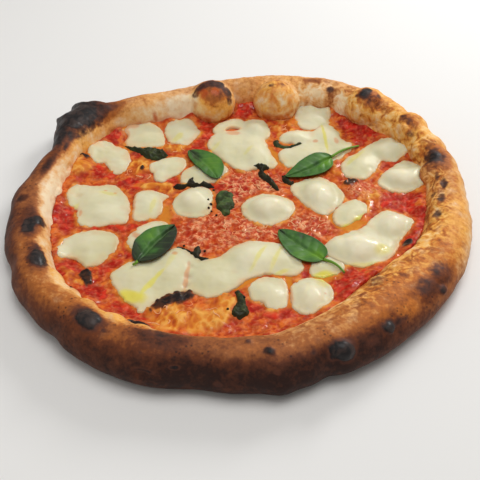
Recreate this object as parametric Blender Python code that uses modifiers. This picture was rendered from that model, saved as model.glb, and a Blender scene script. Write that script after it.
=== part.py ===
"""Margherita pizza: a baked dough disc with a puffed rim, a bed of tomato sauce, melted mozzarella
pieces and basil leaves. Run in Blender 4.5: blender --background --python part.py

+Z is up. The origin is on the surface that the pizza lies on, under the middle of its outline.
Tables give millimetres and degrees (0 along +X, counter-clockwise); meshes are made in metres.
"""

import math
from collections import namedtuple

import bmesh
import bpy
from mathutils import Vector, noise
from mathutils.bvhtree import BVHTree

MM = 0.001

# Driving dimensions of the dough, before its outline is made uneven.
NOMINAL_OUTER = 160.0
NOMINAL_FOOT = 128.0
NOMINAL_CREST = 26.0
BASE_THICKNESS = 4.0
SAUCE_THICKNESS = 2.2
SAUCE_EDGE = 0.6
TURN_STEPS = 72

# Clearances that keep touching solids apart.
SAUCE_GAP = 0.4
CHEESE_GAP = 0.6
BASIL_GAP = 0.5
SEAM_GAP = 0.5

# The uneven ring, one value every 15 degrees: outer edge, foot of the rim inside, and crest height.
OUTER_RADII = (161.5, 166, 170, 175, 173, 166, 156, 149, 151, 154, 157, 155,
               157, 160, 162, 163, 164, 162, 160, 160, 158, 157, 158, 160)
FOOT_RADII = (129, 138, 143, 141, 143, 133, 132, 121, 122, 132, 131, 128,
              126, 127, 130, 128, 126, 126, 123, 118, 112, 107, 111, 123)
CREST_HEIGHTS = (23, 24, 26, 27, 26, 26, 26, 26, 27, 27, 26, 23,
                 22, 23, 24, 26, 28, 29, 29, 29, 29, 27, 25, 23)

# Blisters and hollows of the rim: angle, radius from the centre, height, spread and rise.
Blister = namedtuple("Blister", "angle radius height spread rise")
BLISTERS = (
    Blister(111, 130, 22, 11, -2.5),
    Blister(98.5, 129, 22, 16, 7.0),
    Blister(89, 138, 22, 7, -3.0),
    Blister(78, 136, 22, 15, 5.5),
    Blister(64, 150, 22, 9, -2.5),
    Blister(49, 155, 22, 16, 6.5),
    Blister(33, 157, 21, 13, 4.5),
    Blister(21, 153, 21, 12, 3.5),
    Blister(8, 146, 18, 11, 3.0),
    Blister(158, 133, 12, 11, 3.0),
    Blister(176, 142, 22, 7, -1.5),
    Blister(185, 144, 22, 11, 3.0),
    Blister(200, 144, 22, 12, 3.5),
    Blister(228, 140, 24, 12, 3.0),
    Blister(262, 152, 14, 14, 2.5),
    Blister(296, 147, 14, 9, 3.5),
    Blister(310, 142, 20, 9, 2.0),
    Blister(331, 134, 23, 14, 3.0),
)

# The burnt flap that stands out of the rim at the back left.
FLAP_ANGLE = 143.0
FLAP_HALF_WIDTH = 11.0
FLAP_FLAT_WIDTH = 3.5
FLAP_REACH = 17.0
FLAP_LIFT = 3.0

# Bubbles in the floor of the dough, which lift the sauce: x, y, spread and rise.
Bubble = namedtuple("Bubble", "x y spread rise")
FLOOR_BUBBLES = (
    Bubble(-38, -102, 17, 3.0),
    Bubble(-10, -100, 14, 2.2),
    Bubble(-76, 45, 13, 1.8),
    Bubble(-114, 48, 13, 3.0),
    Bubble(82, 27, 11, 2.4),
    Bubble(-110, -63, 12, 1.6),
    Bubble(30, 122, 13, 2.0),
)

# Mozzarella pieces: middle x and y, half length, half width, turn of the long side, height.
Cheese = namedtuple("Cheese", "x y length width turn height")
CHEESES = (
    Cheese(-97, 60, 23, 13, -52, 3.6),
    Cheese(-73, 88, 18, 15.5, -20, 4.2),
    Cheese(-43.5, 92, 16.5, 13.5, 80, 5.0),
    Cheese(-8, 82, 31, 14, 82, 5.2),
    Cheese(13.5, 101, 12.5, 12, 0, 7.0),
    Cheese(13.5, 69, 22, 14.5, 100, 5.6),
    Cheese(60, 115, 17, 14.5, 70, 8.0),
    Cheese(44.5, 88, 15, 10, 5, 6.0),
    Cheese(70, 88, 18, 12.5, 100, 4.8),
    Cheese(53, 65, 24, 13.5, 15, 5.2),
    Cheese(80, 69, 12, 8, 25, 3.2),
    Cheese(114, 69, 15, 13, -15, 7.0),
    Cheese(92, 51, 24, 12.5, 60, 6.0),
    Cheese(120, 36, 18.5, 16, -25, 9.0),
    Cheese(-98.5, 7, 23, 20.5, -10, 6.0),
    Cheese(-63, 5, 17, 12.5, 90, 4.6),
    Cheese(-31.5, 9, 17.5, 14.5, 80, 7.6),
    Cheese(-54.5, 48, 17.5, 11.5, 55, 4.6),
    Cheese(-24.5, 43, 18, 13, 0, 4.0),
    Cheese(21.5, 1, 17.5, 17, 0, 8.6),
    Cheese(57, 16.5, 21, 16.5, 105, 8.2),
    Cheese(79, -1, 19, 9.5, 52, 4.0),
    Cheese(103, -16, 20, 14, 35, 6.6),
    Cheese(82, -39, 26, 18, -10, 8.6),
    Cheese(56, -58, 11, 10, 60, 3.2),
    Cheese(-99, -40, 20, 16.5, 20, 5.6),
    Cheese(-60, -30, 18, 15, 60, 3.2),
    Cheese(-65, -70, 25, 16.5, -75, 5.0),
    Cheese(-40, -62, 22, 13.5, 80, 4.6),
    Cheese(-17, -66, 20, 15, 75, 5.0),
    Cheese(14, -51, 24, 15.5, 15, 6.2),
    Cheese(19.5, -83, 14.5, 14, 0, 4.8),
    Cheese(45, -84, 17, 13.5, 90, 7.0),
)
CHEESE_SIDES = 12
CHEESE_LIMIT = 0.975
CHEESE_RINGS = 5

# Basil: tip, base of the blade, end of the stem (the base itself if it has none), width, cup and
# crumple. A fresh leaf is cupped along its midrib; a wilted one is narrow and crumpled.
Basil = namedtuple("Basil", "tip base stem width cup crumple")
WILTED_BASIL = (
    Basil((-55, 63), (-86, 74), (-86, 74), 11, 1.0, 2.2),
    Basil((-20, 29), (-47, 27), (-47, 27), 6, 1.0, 1.8),
    Basil((-9, -4), (-11, 22), (-11, 22), 12, 2.0, 1.0),
    Basil((29, 22), (17, 51), (17, 51), 6, 1.0, 1.6),
    Basil((31, 39), (42, 30), (42, 30), 5, 0.6, 1.2),
    Basil((47, 77), (29, 84), (29, 84), 4, 0.6, 1.0),
    Basil((-21, -51), (-31, -39), (-31, -39), 6, 1.0, 1.6),
    Basil((3, -103), (1, -81), (1, -81), 9, 1.5, 2.0),
)
FRESH_BASIL = (
    Basil((-13, 36), (-38, 70), (-38, 70), 19, 2.0, 0.0),
    Basil((33, 37), (70, 62), (94, 79), 21, 3.0, 0.0),
    Basil((-43, -18), (-68, -52), (-70, -56), 25, 2.5, 0.0),
    Basil((29, -22), (56, -50), (69, -63), 24, 2.5, 0.0),
)
LEAF_THICKNESS = 0.7
STEM_WIDTH = 1.6
LEAF_STEPS = 8
LEAF_ROWS = 2


def around(values, angle):
    """Smooth closed curve through values spaced evenly round the circle, read at an angle."""
    place = (angle % 360.0) / 360.0 * len(values)
    index = int(place)
    share = place - index
    before, left, right, after = (values[(index + k) % len(values)] for k in (-1, 0, 1, 2))
    slope_left = (right - before) / 2
    slope_right = (after - left) / 2
    cubed = share ** 3
    squared = share ** 2
    return (
        left * (2 * cubed - 3 * squared + 1)
        + slope_left * (cubed - 2 * squared + share)
        + right * (3 * squared - 2 * cubed)
        + slope_right * (cubed - squared)
    )


def smooth_step(low, high, value):
    """0 below low, 1 above high, and a smooth rise between them."""
    share = min(1.0, max(0.0, (value - low) / (high - low)))
    return share * share * (3 - 2 * share)


def bell(distance, spread):
    """1 at the middle of a swelling, falling smoothly to nothing past its spread."""
    return math.exp(-2.0 * (distance / spread) ** 2)


def lump(x, y, z, size, seed):
    """Smooth uneven value from -1 to 1; features are about size millimetres across."""
    return noise.noise(Vector((x / size + seed, y / size, z / size)))


def polar(angle, radius):
    return radius * math.cos(math.radians(angle)), radius * math.sin(math.radians(angle))


def angle_apart(a, b):
    return abs((a - b + 180.0) % 360.0 - 180.0)


def floor_lift(x, y):
    """How far bubbles in the dough raise its floor and the sauce on it."""
    swell = sum(b.rise * bell(math.hypot(x - b.x, y - b.y), b.spread) for b in FLOOR_BUBBLES)
    return swell + 0.5 * lump(x, y, 0, 55, 3.0)


# ---------------------------------------------------------------- Blender helpers


def make_collection(name):
    collection = bpy.data.collections.new(name)
    bpy.context.scene.collection.children.link(collection)
    return collection


def make_material(name, colour, roughness):
    material = bpy.data.materials.new(name)
    material.use_nodes = True
    shader = material.node_tree.nodes["Principled BSDF"]
    shader.inputs["Base Color"].default_value = (*colour, 1.0)
    shader.inputs["Roughness"].default_value = roughness
    shader.inputs["Metallic"].default_value = 0.0
    return material


def add_object(name, mesh, material, collection, parent):
    obj = bpy.data.objects.new(name, mesh)
    obj.parent = parent
    mesh.materials.append(material)
    collection.objects.link(obj)
    return obj


def bake_modifiers(obj):
    """Replaces the object's mesh with the mesh that its modifiers give."""
    graph = bpy.context.evaluated_depsgraph_get()
    baked = bpy.data.meshes.new_from_object(obj.evaluated_get(graph))
    obj.modifiers.clear()
    obj.data = baked


def turned_mesh(obj_name, profile, material, collection, parent):
    """Solid of revolution about Z from a profile in millimetres that starts and ends on the axis."""
    mesh = bpy.data.meshes.new(obj_name)
    shape = bmesh.new()
    points = [shape.verts.new((r * MM, 0, z * MM)) for r, z in profile]
    for first, second in zip(points, points[1:]):
        shape.edges.new((first, second))
    shape.to_mesh(mesh)
    shape.free()
    obj = add_object(obj_name, mesh, material, collection, parent)
    screw = obj.modifiers.new("Turn", "SCREW")
    screw.steps = TURN_STEPS
    screw.render_steps = TURN_STEPS
    screw.use_merge_vertices = True
    screw.merge_threshold = 0.00001
    bake_modifiers(obj)
    return obj


def split_quads(obj):
    """Cuts every face the same way, so that two skins a gap apart stay a gap apart."""
    shape = bmesh.new()
    shape.from_mesh(obj.data)
    bmesh.ops.triangulate(shape, faces=shape.faces, quad_method="SHORT_EDGE")
    shape.to_mesh(obj.data)
    shape.free()


def tree_of(obj):
    shape = bmesh.new()
    shape.from_mesh(obj.data)
    tree = BVHTree.FromBMesh(shape)
    shape.free()
    return tree


def height_under(trees, x, y):
    """Highest point of the solids made so far at x, y, in millimetres."""
    start = Vector((x * MM, y * MM, 0.2))
    hits = (tree.ray_cast(start, Vector((0, 0, -1)))[0] for tree in trees)
    return max((hit.z / MM for hit in hits if hit), default=0.0)


def settle(shape, trees, gap):
    """Lifts a piece until its underside, and not only its corners, clears what it lies on."""
    lift = 0.0
    for edge in shape.edges:
        start, end = (vertex.co / MM for vertex in edge.verts)
        for share in (0, 0.2, 0.4, 0.6, 0.8, 1):
            x, y, z = start.lerp(end, share)
            lift = max(lift, height_under(trees, x, y) + gap - z)
    bmesh.ops.translate(shape, verts=shape.verts, vec=(0, 0, lift * MM))


def finish_round(obj):
    obj.data.shade_smooth()
    obj.data.set_sharp_from_angle(angle=math.radians(50))


# ---------------------------------------------------------------- dough and sauce

# Radii that the floor of the dough and the sauce on it share, so that their facets lie parallel,
# each with the height of the dough there above its underside.
FLOOR_PROFILE = (
    (0, BASE_THICKNESS),
    (32, BASE_THICKNESS),
    (58, BASE_THICKNESS),
    (80, BASE_THICKNESS),
    (98, BASE_THICKNESS),
    (112, BASE_THICKNESS + 0.4),
    (121.5, BASE_THICKNESS + 1.3),
    (127.5, BASE_THICKNESS + 3.4),
)
RIM_PROFILE = (
    (130.5, 11.5),
    (133, 17),
    (137, 22),
    (142.5, 25.3),
    (148.5, NOMINAL_CREST),
    (153.5, 23.8),
    (157.5, 19.5),
    (NOMINAL_OUTER, 13.5),
    (159.3, 8),
    (156, 3.4),
    (150, 0.8),
    (142, 0),
)
UNDERSIDE_PROFILE = ((96, 0), (0, 0))


def stretched(x, y, z):
    """Moves a point of the even, turned form to its place on the uneven pizza."""
    radius = math.hypot(x, y)
    if radius < 1e-6:
        return x, y, z
    angle = math.degrees(math.atan2(y, x))
    outer = around(OUTER_RADII, angle)
    foot = around(FOOT_RADII, angle)
    flap = 1 - smooth_step(FLAP_FLAT_WIDTH, FLAP_HALF_WIDTH, angle_apart(angle, FLAP_ANGLE))
    across = (radius - NOMINAL_FOOT) / (NOMINAL_OUTER - NOMINAL_FOOT)
    if across <= 0:
        new_radius = radius * foot / NOMINAL_FOOT
    else:
        reach = FLAP_REACH * flap * across * smooth_step(2, 16, z)
        new_radius = foot + across * (outer - foot) + reach
    on_rim = smooth_step(-0.1, 0.25, across)
    crest = around(CREST_HEIGHTS, angle) + FLAP_LIFT * flap
    new_z = z * (1 + on_rim * (crest / NOMINAL_CREST - 1))
    return x / radius * new_radius, y / radius * new_radius, new_z


def rim_core(angle):
    """Middle of the rim's cross-section at an angle, from which its skin swells outwards."""
    x, y = polar(angle, (around(OUTER_RADII, angle) + around(FOOT_RADII, angle)) / 2)
    return Vector((x, y, 9.0))


def swollen(x, y, z):
    """Adds the blisters and the uneven swell of the rim's skin."""
    angle = math.degrees(math.atan2(y, x))
    place = Vector((x, y, z))
    outward = (place - rim_core(angle)).normalized()
    rise = 1.1 * lump(x, y, z, 24, 11.0)
    for blister in BLISTERS:
        middle = Vector((*polar(blister.angle, blister.radius), blister.height))
        rise += blister.rise * bell((place - middle).length, blister.spread)
    foot = around(FOOT_RADII, angle)
    skin = smooth_step(foot - SAUCE_GAP, foot + 10, math.hypot(x, y))
    above_table = smooth_step(1.0, 9.0, z)
    return place + outward * rise * skin * above_table


def make_dough(collection, parent):
    material = make_material("baked_dough", (0.55, 0.33, 0.16), 0.8)
    profile = FLOOR_PROFILE + RIM_PROFILE + UNDERSIDE_PROFILE
    dough = turned_mesh("dough", profile, material, collection, parent)
    for vertex in dough.data.vertices:
        x, y, z = stretched(*(vertex.co / MM))
        on_floor = z > BASE_THICKNESS / 2 and math.hypot(x, y) < around(
            FOOT_RADII, math.degrees(math.atan2(y, x))
        )
        if on_floor:
            z += floor_lift(x, y)
        vertex.co = swollen(x, y, z) * MM
    split_quads(dough)
    finish_round(dough)
    return dough


def make_sauce(collection, parent):
    """The sauce lies on the dough's own floor, a gap above it, and thins towards the rim."""
    material = make_material("tomato_sauce", (0.60, 0.06, 0.02), 0.3)
    edge = len(FLOOR_PROFILE) - 1
    under = [(radius, height + SAUCE_GAP) for radius, height in FLOOR_PROFILE]
    over = [
        (radius, height + (SAUCE_THICKNESS if index < edge - 1 else SAUCE_EDGE + SAUCE_THICKNESS / 2))
        for index, (radius, height) in enumerate(under)
    ]
    over[edge] = (under[edge][0], under[edge][1] + SAUCE_EDGE)
    sauce = turned_mesh("tomato_sauce", over + under[::-1], material, collection, parent)
    for vertex in sauce.data.vertices:
        x, y, z = stretched(*(vertex.co / MM))
        vertex.co = Vector((x, y, z + floor_lift(x, y))) * MM
    split_quads(sauce)
    finish_round(sauce)
    return sauce


# ---------------------------------------------------------------- mozzarella


def cheese_reach(cheese, seed, angle):
    """Distance from a piece's middle to its uneven edge, in the direction of an angle."""
    local = math.radians(angle - cheese.turn)
    squareness = 2.4
    along = abs(math.cos(local) / cheese.length) ** squareness
    across = abs(math.sin(local) / cheese.width) ** squareness
    even = (along + across) ** (-1 / squareness)
    x, y = math.cos(local), math.sin(local)
    return even * (1 + 0.16 * lump(x, y, 0, 0.9, 7.0 * seed) + 0.05 * lump(x, y, 0, 0.35, 5.0 * seed))


def held_by_seams(cheese, seed, x, y):
    """Pulls a point back to the flat seam where melted neighbours meet."""
    for other_seed, other in enumerate(CHEESES):
        apart = Vector((other.x - cheese.x, other.y - cheese.y))
        if other is cheese or apart.length > cheese.length + other.length + 10:
            continue
        towards = math.degrees(math.atan2(apart.y, apart.x))
        own = cheese_reach(cheese, seed, towards)
        theirs = cheese_reach(other, other_seed, towards + 180)
        seam = apart.length * own / (own + theirs) - SEAM_GAP / 2
        direction = apart.normalized()
        past = (x - cheese.x) * direction.x + (y - cheese.y) * direction.y - seam
        if past > 0:
            x -= past * direction.x
            y -= past * direction.y
    return x, y


def held_by_rim(x, y):
    """Pulls a point back to the foot of the rim."""
    limit = CHEESE_LIMIT * around(FOOT_RADII, math.degrees(math.atan2(y, x)))
    share = min(1.0, limit / max(1.0, math.hypot(x, y)))
    return x * share, y * share


def make_cheese(index, cheese, trees, material, collection, parent):
    """A round primitive whose upper half becomes the dome, and lower half lies on what is below."""
    mesh = bpy.data.meshes.new("mozzarella")
    shape = bmesh.new()
    bmesh.ops.create_uvsphere(shape, u_segments=CHEESE_SIDES, v_segments=CHEESE_RINGS, radius=1.0)
    for vertex in shape.verts:
        share = math.hypot(vertex.co.x, vertex.co.y)
        angle = math.degrees(math.atan2(vertex.co.y, vertex.co.x)) + cheese.turn
        out = cheese_reach(cheese, index, angle) * share ** 0.9
        x, y = polar(angle, out)
        x, y = held_by_seams(cheese, index, x + cheese.x, y + cheese.y)
        x, y = held_by_rim(x, y)
        z = height_under(trees, x, y) + CHEESE_GAP
        if vertex.co.z > -0.1:
            z += cheese.height * (0.14 + 0.86 * max(0.0, vertex.co.z) ** 0.8)
        vertex.co = (x * MM, y * MM, z * MM)
    settle(shape, trees, CHEESE_GAP)
    shape.to_mesh(mesh)
    shape.free()
    name = f"mozzarella_{index + 1:02d}"
    obj = add_object(name, mesh, material, collection, parent)
    finish_round(obj)
    return obj


# ---------------------------------------------------------------- basil


def leaf_half_width(leaf, along):
    """Half width of the leaf along its length: 0 at the tip, 1 at the blade's base, more on the stem."""
    if along >= 1.0:
        return STEM_WIDTH / 2
    blade = math.sin(math.pi * along ** 0.85) ** 0.8
    return max(STEM_WIDTH / 2, leaf.width / 2 * blade)


def leaf_line(leaf, along):
    """Point on the midrib, running on into the stem past the base."""
    tip, base, stem = Vector(leaf.tip), Vector(leaf.base), Vector(leaf.stem)
    if along <= 1.0:
        return tip.lerp(base, along)
    return base.lerp(stem, along - 1.0)


def lying_height(trees, x, y):
    """Height of what a soft leaf lies on, evened out over its own stiffness."""
    reach = 5.0
    places = [(0, 0), (reach, 0), (-reach, 0), (0, reach), (0, -reach)]
    return sum(height_under(trees, x + dx, y + dy) for dx, dy in places) / len(places)


def make_basil(name, leaf, seed, trees, material, collection, parent):
    """A grid shaped to the leaf, laid over what is below it and given thickness."""
    mesh = bpy.data.meshes.new("basil")
    shape = bmesh.new()
    has_stem = leaf.stem != leaf.base
    length = 2.0 if has_stem else 1.0
    steps = LEAF_STEPS + (4 if has_stem else 0)
    bmesh.ops.create_grid(shape, x_segments=steps, y_segments=LEAF_ROWS, size=1.0)
    side = (Vector(leaf.base) - Vector(leaf.tip)).normalized().orthogonal()
    for vertex in shape.verts:
        share = (vertex.co.x + 1) / 2
        along = min(length, share * steps / LEAF_STEPS)
        if along > 1.0:
            along = 1.0 + (along - 1.0) * LEAF_STEPS / (steps - LEAF_STEPS)
        sideways = vertex.co.y
        x, y = leaf_line(leaf, along) + side * sideways * leaf_half_width(leaf, along)
        cup = leaf.cup * (sideways ** 2 * math.sin(math.pi * min(along, 1.0)) + 0.6 * (1 - along) ** 4)
        crease = leaf.crumple * lump(x, y, 0, 4.5, 2.0 * seed)
        z = lying_height(trees, x, y) + cup + crease
        vertex.co = (x * MM, y * MM, z * MM)
    settle(shape, trees, BASIL_GAP)
    bmesh.ops.recalc_face_normals(shape, faces=shape.faces)
    if sum(face.normal.z for face in shape.faces) < 0:
        bmesh.ops.reverse_faces(shape, faces=shape.faces)
    shape.to_mesh(mesh)
    shape.free()
    obj = add_object(name, mesh, material, collection, parent)
    wall = obj.modifiers.new("Thickness", "SOLIDIFY")
    wall.thickness = LEAF_THICKNESS * MM
    wall.offset = 1.0
    bake_modifiers(obj)
    finish_round(obj)
    return obj


# ---------------------------------------------------------------- assembly


def footprint_middle(obj):
    xs = [vertex.co.x for vertex in obj.data.vertices]
    ys = [vertex.co.y for vertex in obj.data.vertices]
    return Vector(((min(xs) + max(xs)) / 2, (min(ys) + max(ys)) / 2, 0))


def main():
    for old in list(bpy.data.objects):
        bpy.data.objects.remove(old)
    collection = make_collection("margherita_pizza")
    pizza = bpy.data.objects.new("margherita_pizza", None)
    collection.objects.link(pizza)

    dough = make_dough(collection, pizza)
    sauce = make_sauce(collection, pizza)
    bed = [tree_of(dough), tree_of(sauce)]

    mozzarella = make_material("mozzarella", (0.80, 0.76, 0.60), 0.35)
    cheeses = [
        make_cheese(index, cheese, bed, mozzarella, collection, pizza)
        for index, cheese in enumerate(CHEESES)
    ]

    under_basil = bed + [tree_of(cheese) for cheese in cheeses]
    wilted = make_material("wilted_basil", (0.03, 0.05, 0.02), 0.6)
    fresh = make_material("fresh_basil", (0.05, 0.20, 0.02), 0.4)
    for kind, leaves, material in (("wilted_basil", WILTED_BASIL, wilted), ("basil_leaf", FRESH_BASIL, fresh)):
        for index, leaf in enumerate(leaves):
            name = f"{kind}_{index + 1}"
            made = make_basil(name, leaf, index + 1, under_basil, material, collection, pizza)
            under_basil.append(tree_of(made))

    pizza.location = -footprint_middle(dough)


main()
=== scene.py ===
import math

import bpy
import numpy as np
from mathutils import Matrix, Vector
from mathutils.bvhtree import BVHTree


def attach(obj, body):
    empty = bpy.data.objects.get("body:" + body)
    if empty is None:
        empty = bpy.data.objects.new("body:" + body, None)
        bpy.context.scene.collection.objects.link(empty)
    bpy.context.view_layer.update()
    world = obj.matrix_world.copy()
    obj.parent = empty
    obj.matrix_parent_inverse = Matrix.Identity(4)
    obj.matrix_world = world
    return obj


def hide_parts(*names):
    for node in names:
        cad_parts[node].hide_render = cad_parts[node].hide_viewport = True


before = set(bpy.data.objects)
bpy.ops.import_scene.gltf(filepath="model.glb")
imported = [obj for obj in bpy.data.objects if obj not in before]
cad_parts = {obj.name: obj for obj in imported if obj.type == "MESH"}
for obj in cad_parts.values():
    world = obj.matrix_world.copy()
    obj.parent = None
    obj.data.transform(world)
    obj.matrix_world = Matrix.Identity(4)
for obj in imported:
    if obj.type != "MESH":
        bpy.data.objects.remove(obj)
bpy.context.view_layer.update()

mm = 0.001
planShift = np.array((-2.28, 0.04, 0.0))  # from the middle of the round to the middle of the outline


def around(values, angles):  # smooth closed curve through values spaced evenly round the circle
    values = np.asarray(values, float)
    place = (np.asarray(angles) % 360.0) / 360.0 * len(values)
    index = place.astype(int)
    share = place - index
    before, left, right, after = (values[(index + k) % len(values)] for k in (-1, 0, 1, 2))
    squared, cubed = share ** 2, share ** 3
    return (left * (2 * cubed - 3 * squared + 1) + (right - before) / 2 * (cubed - 2 * squared + share)
            + right * (3 * squared - 2 * cubed) + (after - left) / 2 * (cubed - squared))


def smoothStep(low, high, value):
    share = np.clip((value - low) / (high - low), 0, 1)
    return share * share * (3 - 2 * share)


def smoothMax(a, b, reach):  # the larger of two, with a rounded joint
    blend = np.clip(reach - np.abs(a - b), 0, None) / reach
    return np.maximum(a, b) + blend * blend * reach / 4


def bell(distance, spread):
    return np.exp(-2.0 * (distance / spread) ** 2)


def lumps(points, size, seed=0):  # soft noise, about -1 to 1, with features of that size in mm
    place = np.asarray(points, float) / size + (seed * 13.37 + 500.5, seed * 7.91 + 500.3, seed * 3.73 + 500.7)
    cell = np.floor(place).astype(np.int64)
    part = place - cell
    fade = part ** 3 * (part * (part * 6 - 15) + 10)
    total = np.zeros(len(place))
    for dx in (0, 1):
        for dy in (0, 1):
            for dz in (0, 1):
                mixed = (cell[:, 0] + dx) * 374761393 + (cell[:, 1] + dy) * 668265263 + (cell[:, 2] + dz) * 2147483647
                away = part - (dx, dy, dz)
                value = 0
                for axis in range(3):
                    mixed = (mixed ^ (mixed >> 13)) * 1274126177 & 0x7FFFFFFF
                    value = value + (((mixed ^ (mixed >> 16)) & 1023) / 511.5 - 1) * away[:, axis]
                weight = (np.where(dx, fade[:, 0], 1 - fade[:, 0]) * np.where(dy, fade[:, 1], 1 - fade[:, 1])
                          * np.where(dz, fade[:, 2], 1 - fade[:, 2]))
                total += weight * value
    return total * 1.5


def coordsOf(obj):  # vertex places in plan millimetres
    co = np.empty(len(obj.data.vertices) * 3)
    obj.data.vertices.foreach_get("co", co)
    return co.reshape(-1, 3) / mm - planShift


def setCoords(obj, points):
    obj.data.vertices.foreach_set("co", ((points + planShift) * mm).ravel())
    obj.data.update()


def paint(obj, name, *masks):  # up to four masks for the material, one value a vertex
    layer = obj.data.color_attributes.new(name, "FLOAT_COLOR", "POINT")
    values = np.zeros((len(obj.data.vertices), 4))
    for channel, mask in enumerate(masks):
        values[:, channel] = np.clip(mask, 0, 1)
    layer.data.foreach_set("color", values.ravel())


def spotShare(x, y, spot):  # 0 in the middle of an oval spot (x, y, half length, half width, turn), 1 at its edge
    turn = math.radians(spot[4])
    dx, dy = x - spot[0], y - spot[1]
    along = (dx * math.cos(turn) + dy * math.sin(turn)) / spot[2]
    across = (dy * math.cos(turn) - dx * math.sin(turn)) / spot[3]
    return np.hypot(along, across)


def finishPiece(obj, material, slotName, *nodes):
    obj.data.materials.append(material)
    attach(obj, "root")
    if nodes:
        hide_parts(*nodes)


def newGrid(name, x0, x1, y0, y1, step):  # flat grid over a rectangle of the plan
    bpy.ops.object.select_all(action="DESELECT")
    xSteps, ySteps = max(2, round((x1 - x0) / step)), max(2, round((y1 - y0) / step))
    bpy.ops.mesh.primitive_grid_add(x_subdivisions=xSteps, y_subdivisions=ySteps, size=1)
    grid = bpy.context.object
    grid.name = name
    points = (coordsOf(grid) + planShift) * mm
    points[:, 0] = (x0 + x1) / 2 + points[:, 0] * (x1 - x0)
    points[:, 1] = (y0 + y1) / 2 + points[:, 1] * (y1 - y0)
    setCoords(grid, points)
    return grid


def keepVertices(obj, keep):  # cuts away the rest
    for kind in (obj.data.edges, obj.data.polygons):
        kind.foreach_set("select", np.zeros(len(kind), bool))
    obj.data.vertices.foreach_set("select", ~keep)
    bpy.ops.object.mode_set(mode="EDIT")
    bpy.ops.mesh.select_mode(type="VERT")
    bpy.ops.mesh.delete(type="VERT")
    bpy.ops.object.mode_set(mode="OBJECT")


def closeUnder(obj, level):  # the open edge goes down to a level, in mm, and is filled across
    bpy.ops.object.mode_set(mode="EDIT")
    bpy.ops.mesh.select_all(action="DESELECT")
    bpy.ops.mesh.select_non_manifold(extend=False, use_wire=False, use_multi_face=False,
                                     use_non_contiguous=False, use_verts=False)
    bpy.ops.mesh.extrude_edges_move(TRANSFORM_OT_translate={"value": (0, 0, -mm)})
    bpy.ops.object.mode_set(mode="OBJECT")
    picked = np.zeros(len(obj.data.vertices), bool)
    obj.data.vertices.foreach_get("select", picked)
    points = coordsOf(obj)
    points[picked, 2] = level
    setCoords(obj, points)
    bpy.ops.object.mode_set(mode="EDIT")
    bpy.ops.mesh.fill(use_beauty=False)
    bpy.ops.mesh.select_all(action="SELECT")
    bpy.ops.mesh.normals_make_consistent(inside=False)
    bpy.ops.object.mode_set(mode="OBJECT")


def treeOf(obj):
    return BVHTree.FromPolygons([v.co for v in obj.data.vertices], [p.vertices for p in obj.data.polygons])


def groundUnder(trees, x, y):  # height of what is already there below a place, in mm
    best = 0.0
    for tree in trees:
        hit = tree.ray_cast(Vector(((x + planShift[0]) * mm, (y + planShift[1]) * mm, 0.1)), Vector((0, 0, -1)))[0]
        if hit:
            best = max(best, hit.z / mm)
    return best


# nodes -----
def addNode(tree, kind, options=None, inputs=None):
    made = tree.nodes.new("ShaderNode" + kind)
    for key, value in (options or {}).items():
        setattr(made, key, value)
    for key, value in (inputs or {}).items():
        if isinstance(value, bpy.types.NodeSocket):
            tree.links.new(value, made.inputs[key])
        else:
            made.inputs[key].default_value = value
    return made


def calc(tree, operation, a, b=0.0, clamp=False):
    return addNode(tree, "Math", {"operation": operation, "use_clamp": clamp}, {0: a, 1: b}).outputs[0]


def step(tree, value, low, high):
    node = addNode(tree, "MapRange", {"interpolation_type": "SMOOTHSTEP"},
                   {"Value": value, "From Min": low, "From Max": high})
    return node.outputs["Result"]


def mixColour(tree, share, a, b, blend="MIX"):
    a, b = ((*c, 1) if isinstance(c, tuple) else c for c in (a, b))
    node = addNode(tree, "Mix", {"data_type": "RGBA", "blend_type": blend}, {0: share, 6: a, 7: b})
    return node.outputs[2]


def noise(tree, coords, size, detail=2.0, distortion=0.0):  # features of that size in mm
    node = addNode(tree, "TexNoise", None, {"Vector": coords, "Scale": 1000 / size / 2, "Detail": detail,
                                            "Distortion": distortion})
    return node.outputs["Fac"]


def ramp(tree, value, *stops):
    node = addNode(tree, "ValToRGB", None, {"Fac": value})
    elements = node.color_ramp.elements
    while len(elements) < len(stops):
        elements.new(0.5)
    for element, (place, colour) in zip(elements, stops):
        element.position = place
        element.color = (*colour, 1)
    return node.outputs["Color"]


def attributeOf(tree, name):
    node = addNode(tree, "Attribute", {"attribute_name": name})
    split = addNode(tree, "SeparateColor", None, {"Color": node.outputs["Color"]})
    return (*split.outputs, node.outputs["Alpha"])


def newMaterial(name):
    material = bpy.data.materials.new(name)
    material.use_nodes = True
    tree = material.node_tree
    return material, tree, tree.nodes["Principled BSDF"], addNode(tree, "TexCoord").outputs["Object"]


def bump(tree, height, strength, distance, normal=None):
    inputs = {"Height": height, "Strength": strength, "Distance": distance * mm}
    if normal:
        inputs["Normal"] = normal
    return addNode(tree, "Bump", None, inputs).outputs["Normal"]


def newGroup(name, inputs, outputs):
    group = bpy.data.node_groups.new(name, "ShaderNodeTree")
    for sockets, side in ((inputs, "INPUT"), (outputs, "OUTPUT")):
        for socketName, kind in sockets:
            group.interface.new_socket(socketName, in_out=side, socket_type="NodeSocket" + kind)
    return group, group.nodes.new("NodeGroupInput").outputs, group.nodes.new("NodeGroupOutput").inputs


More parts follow.
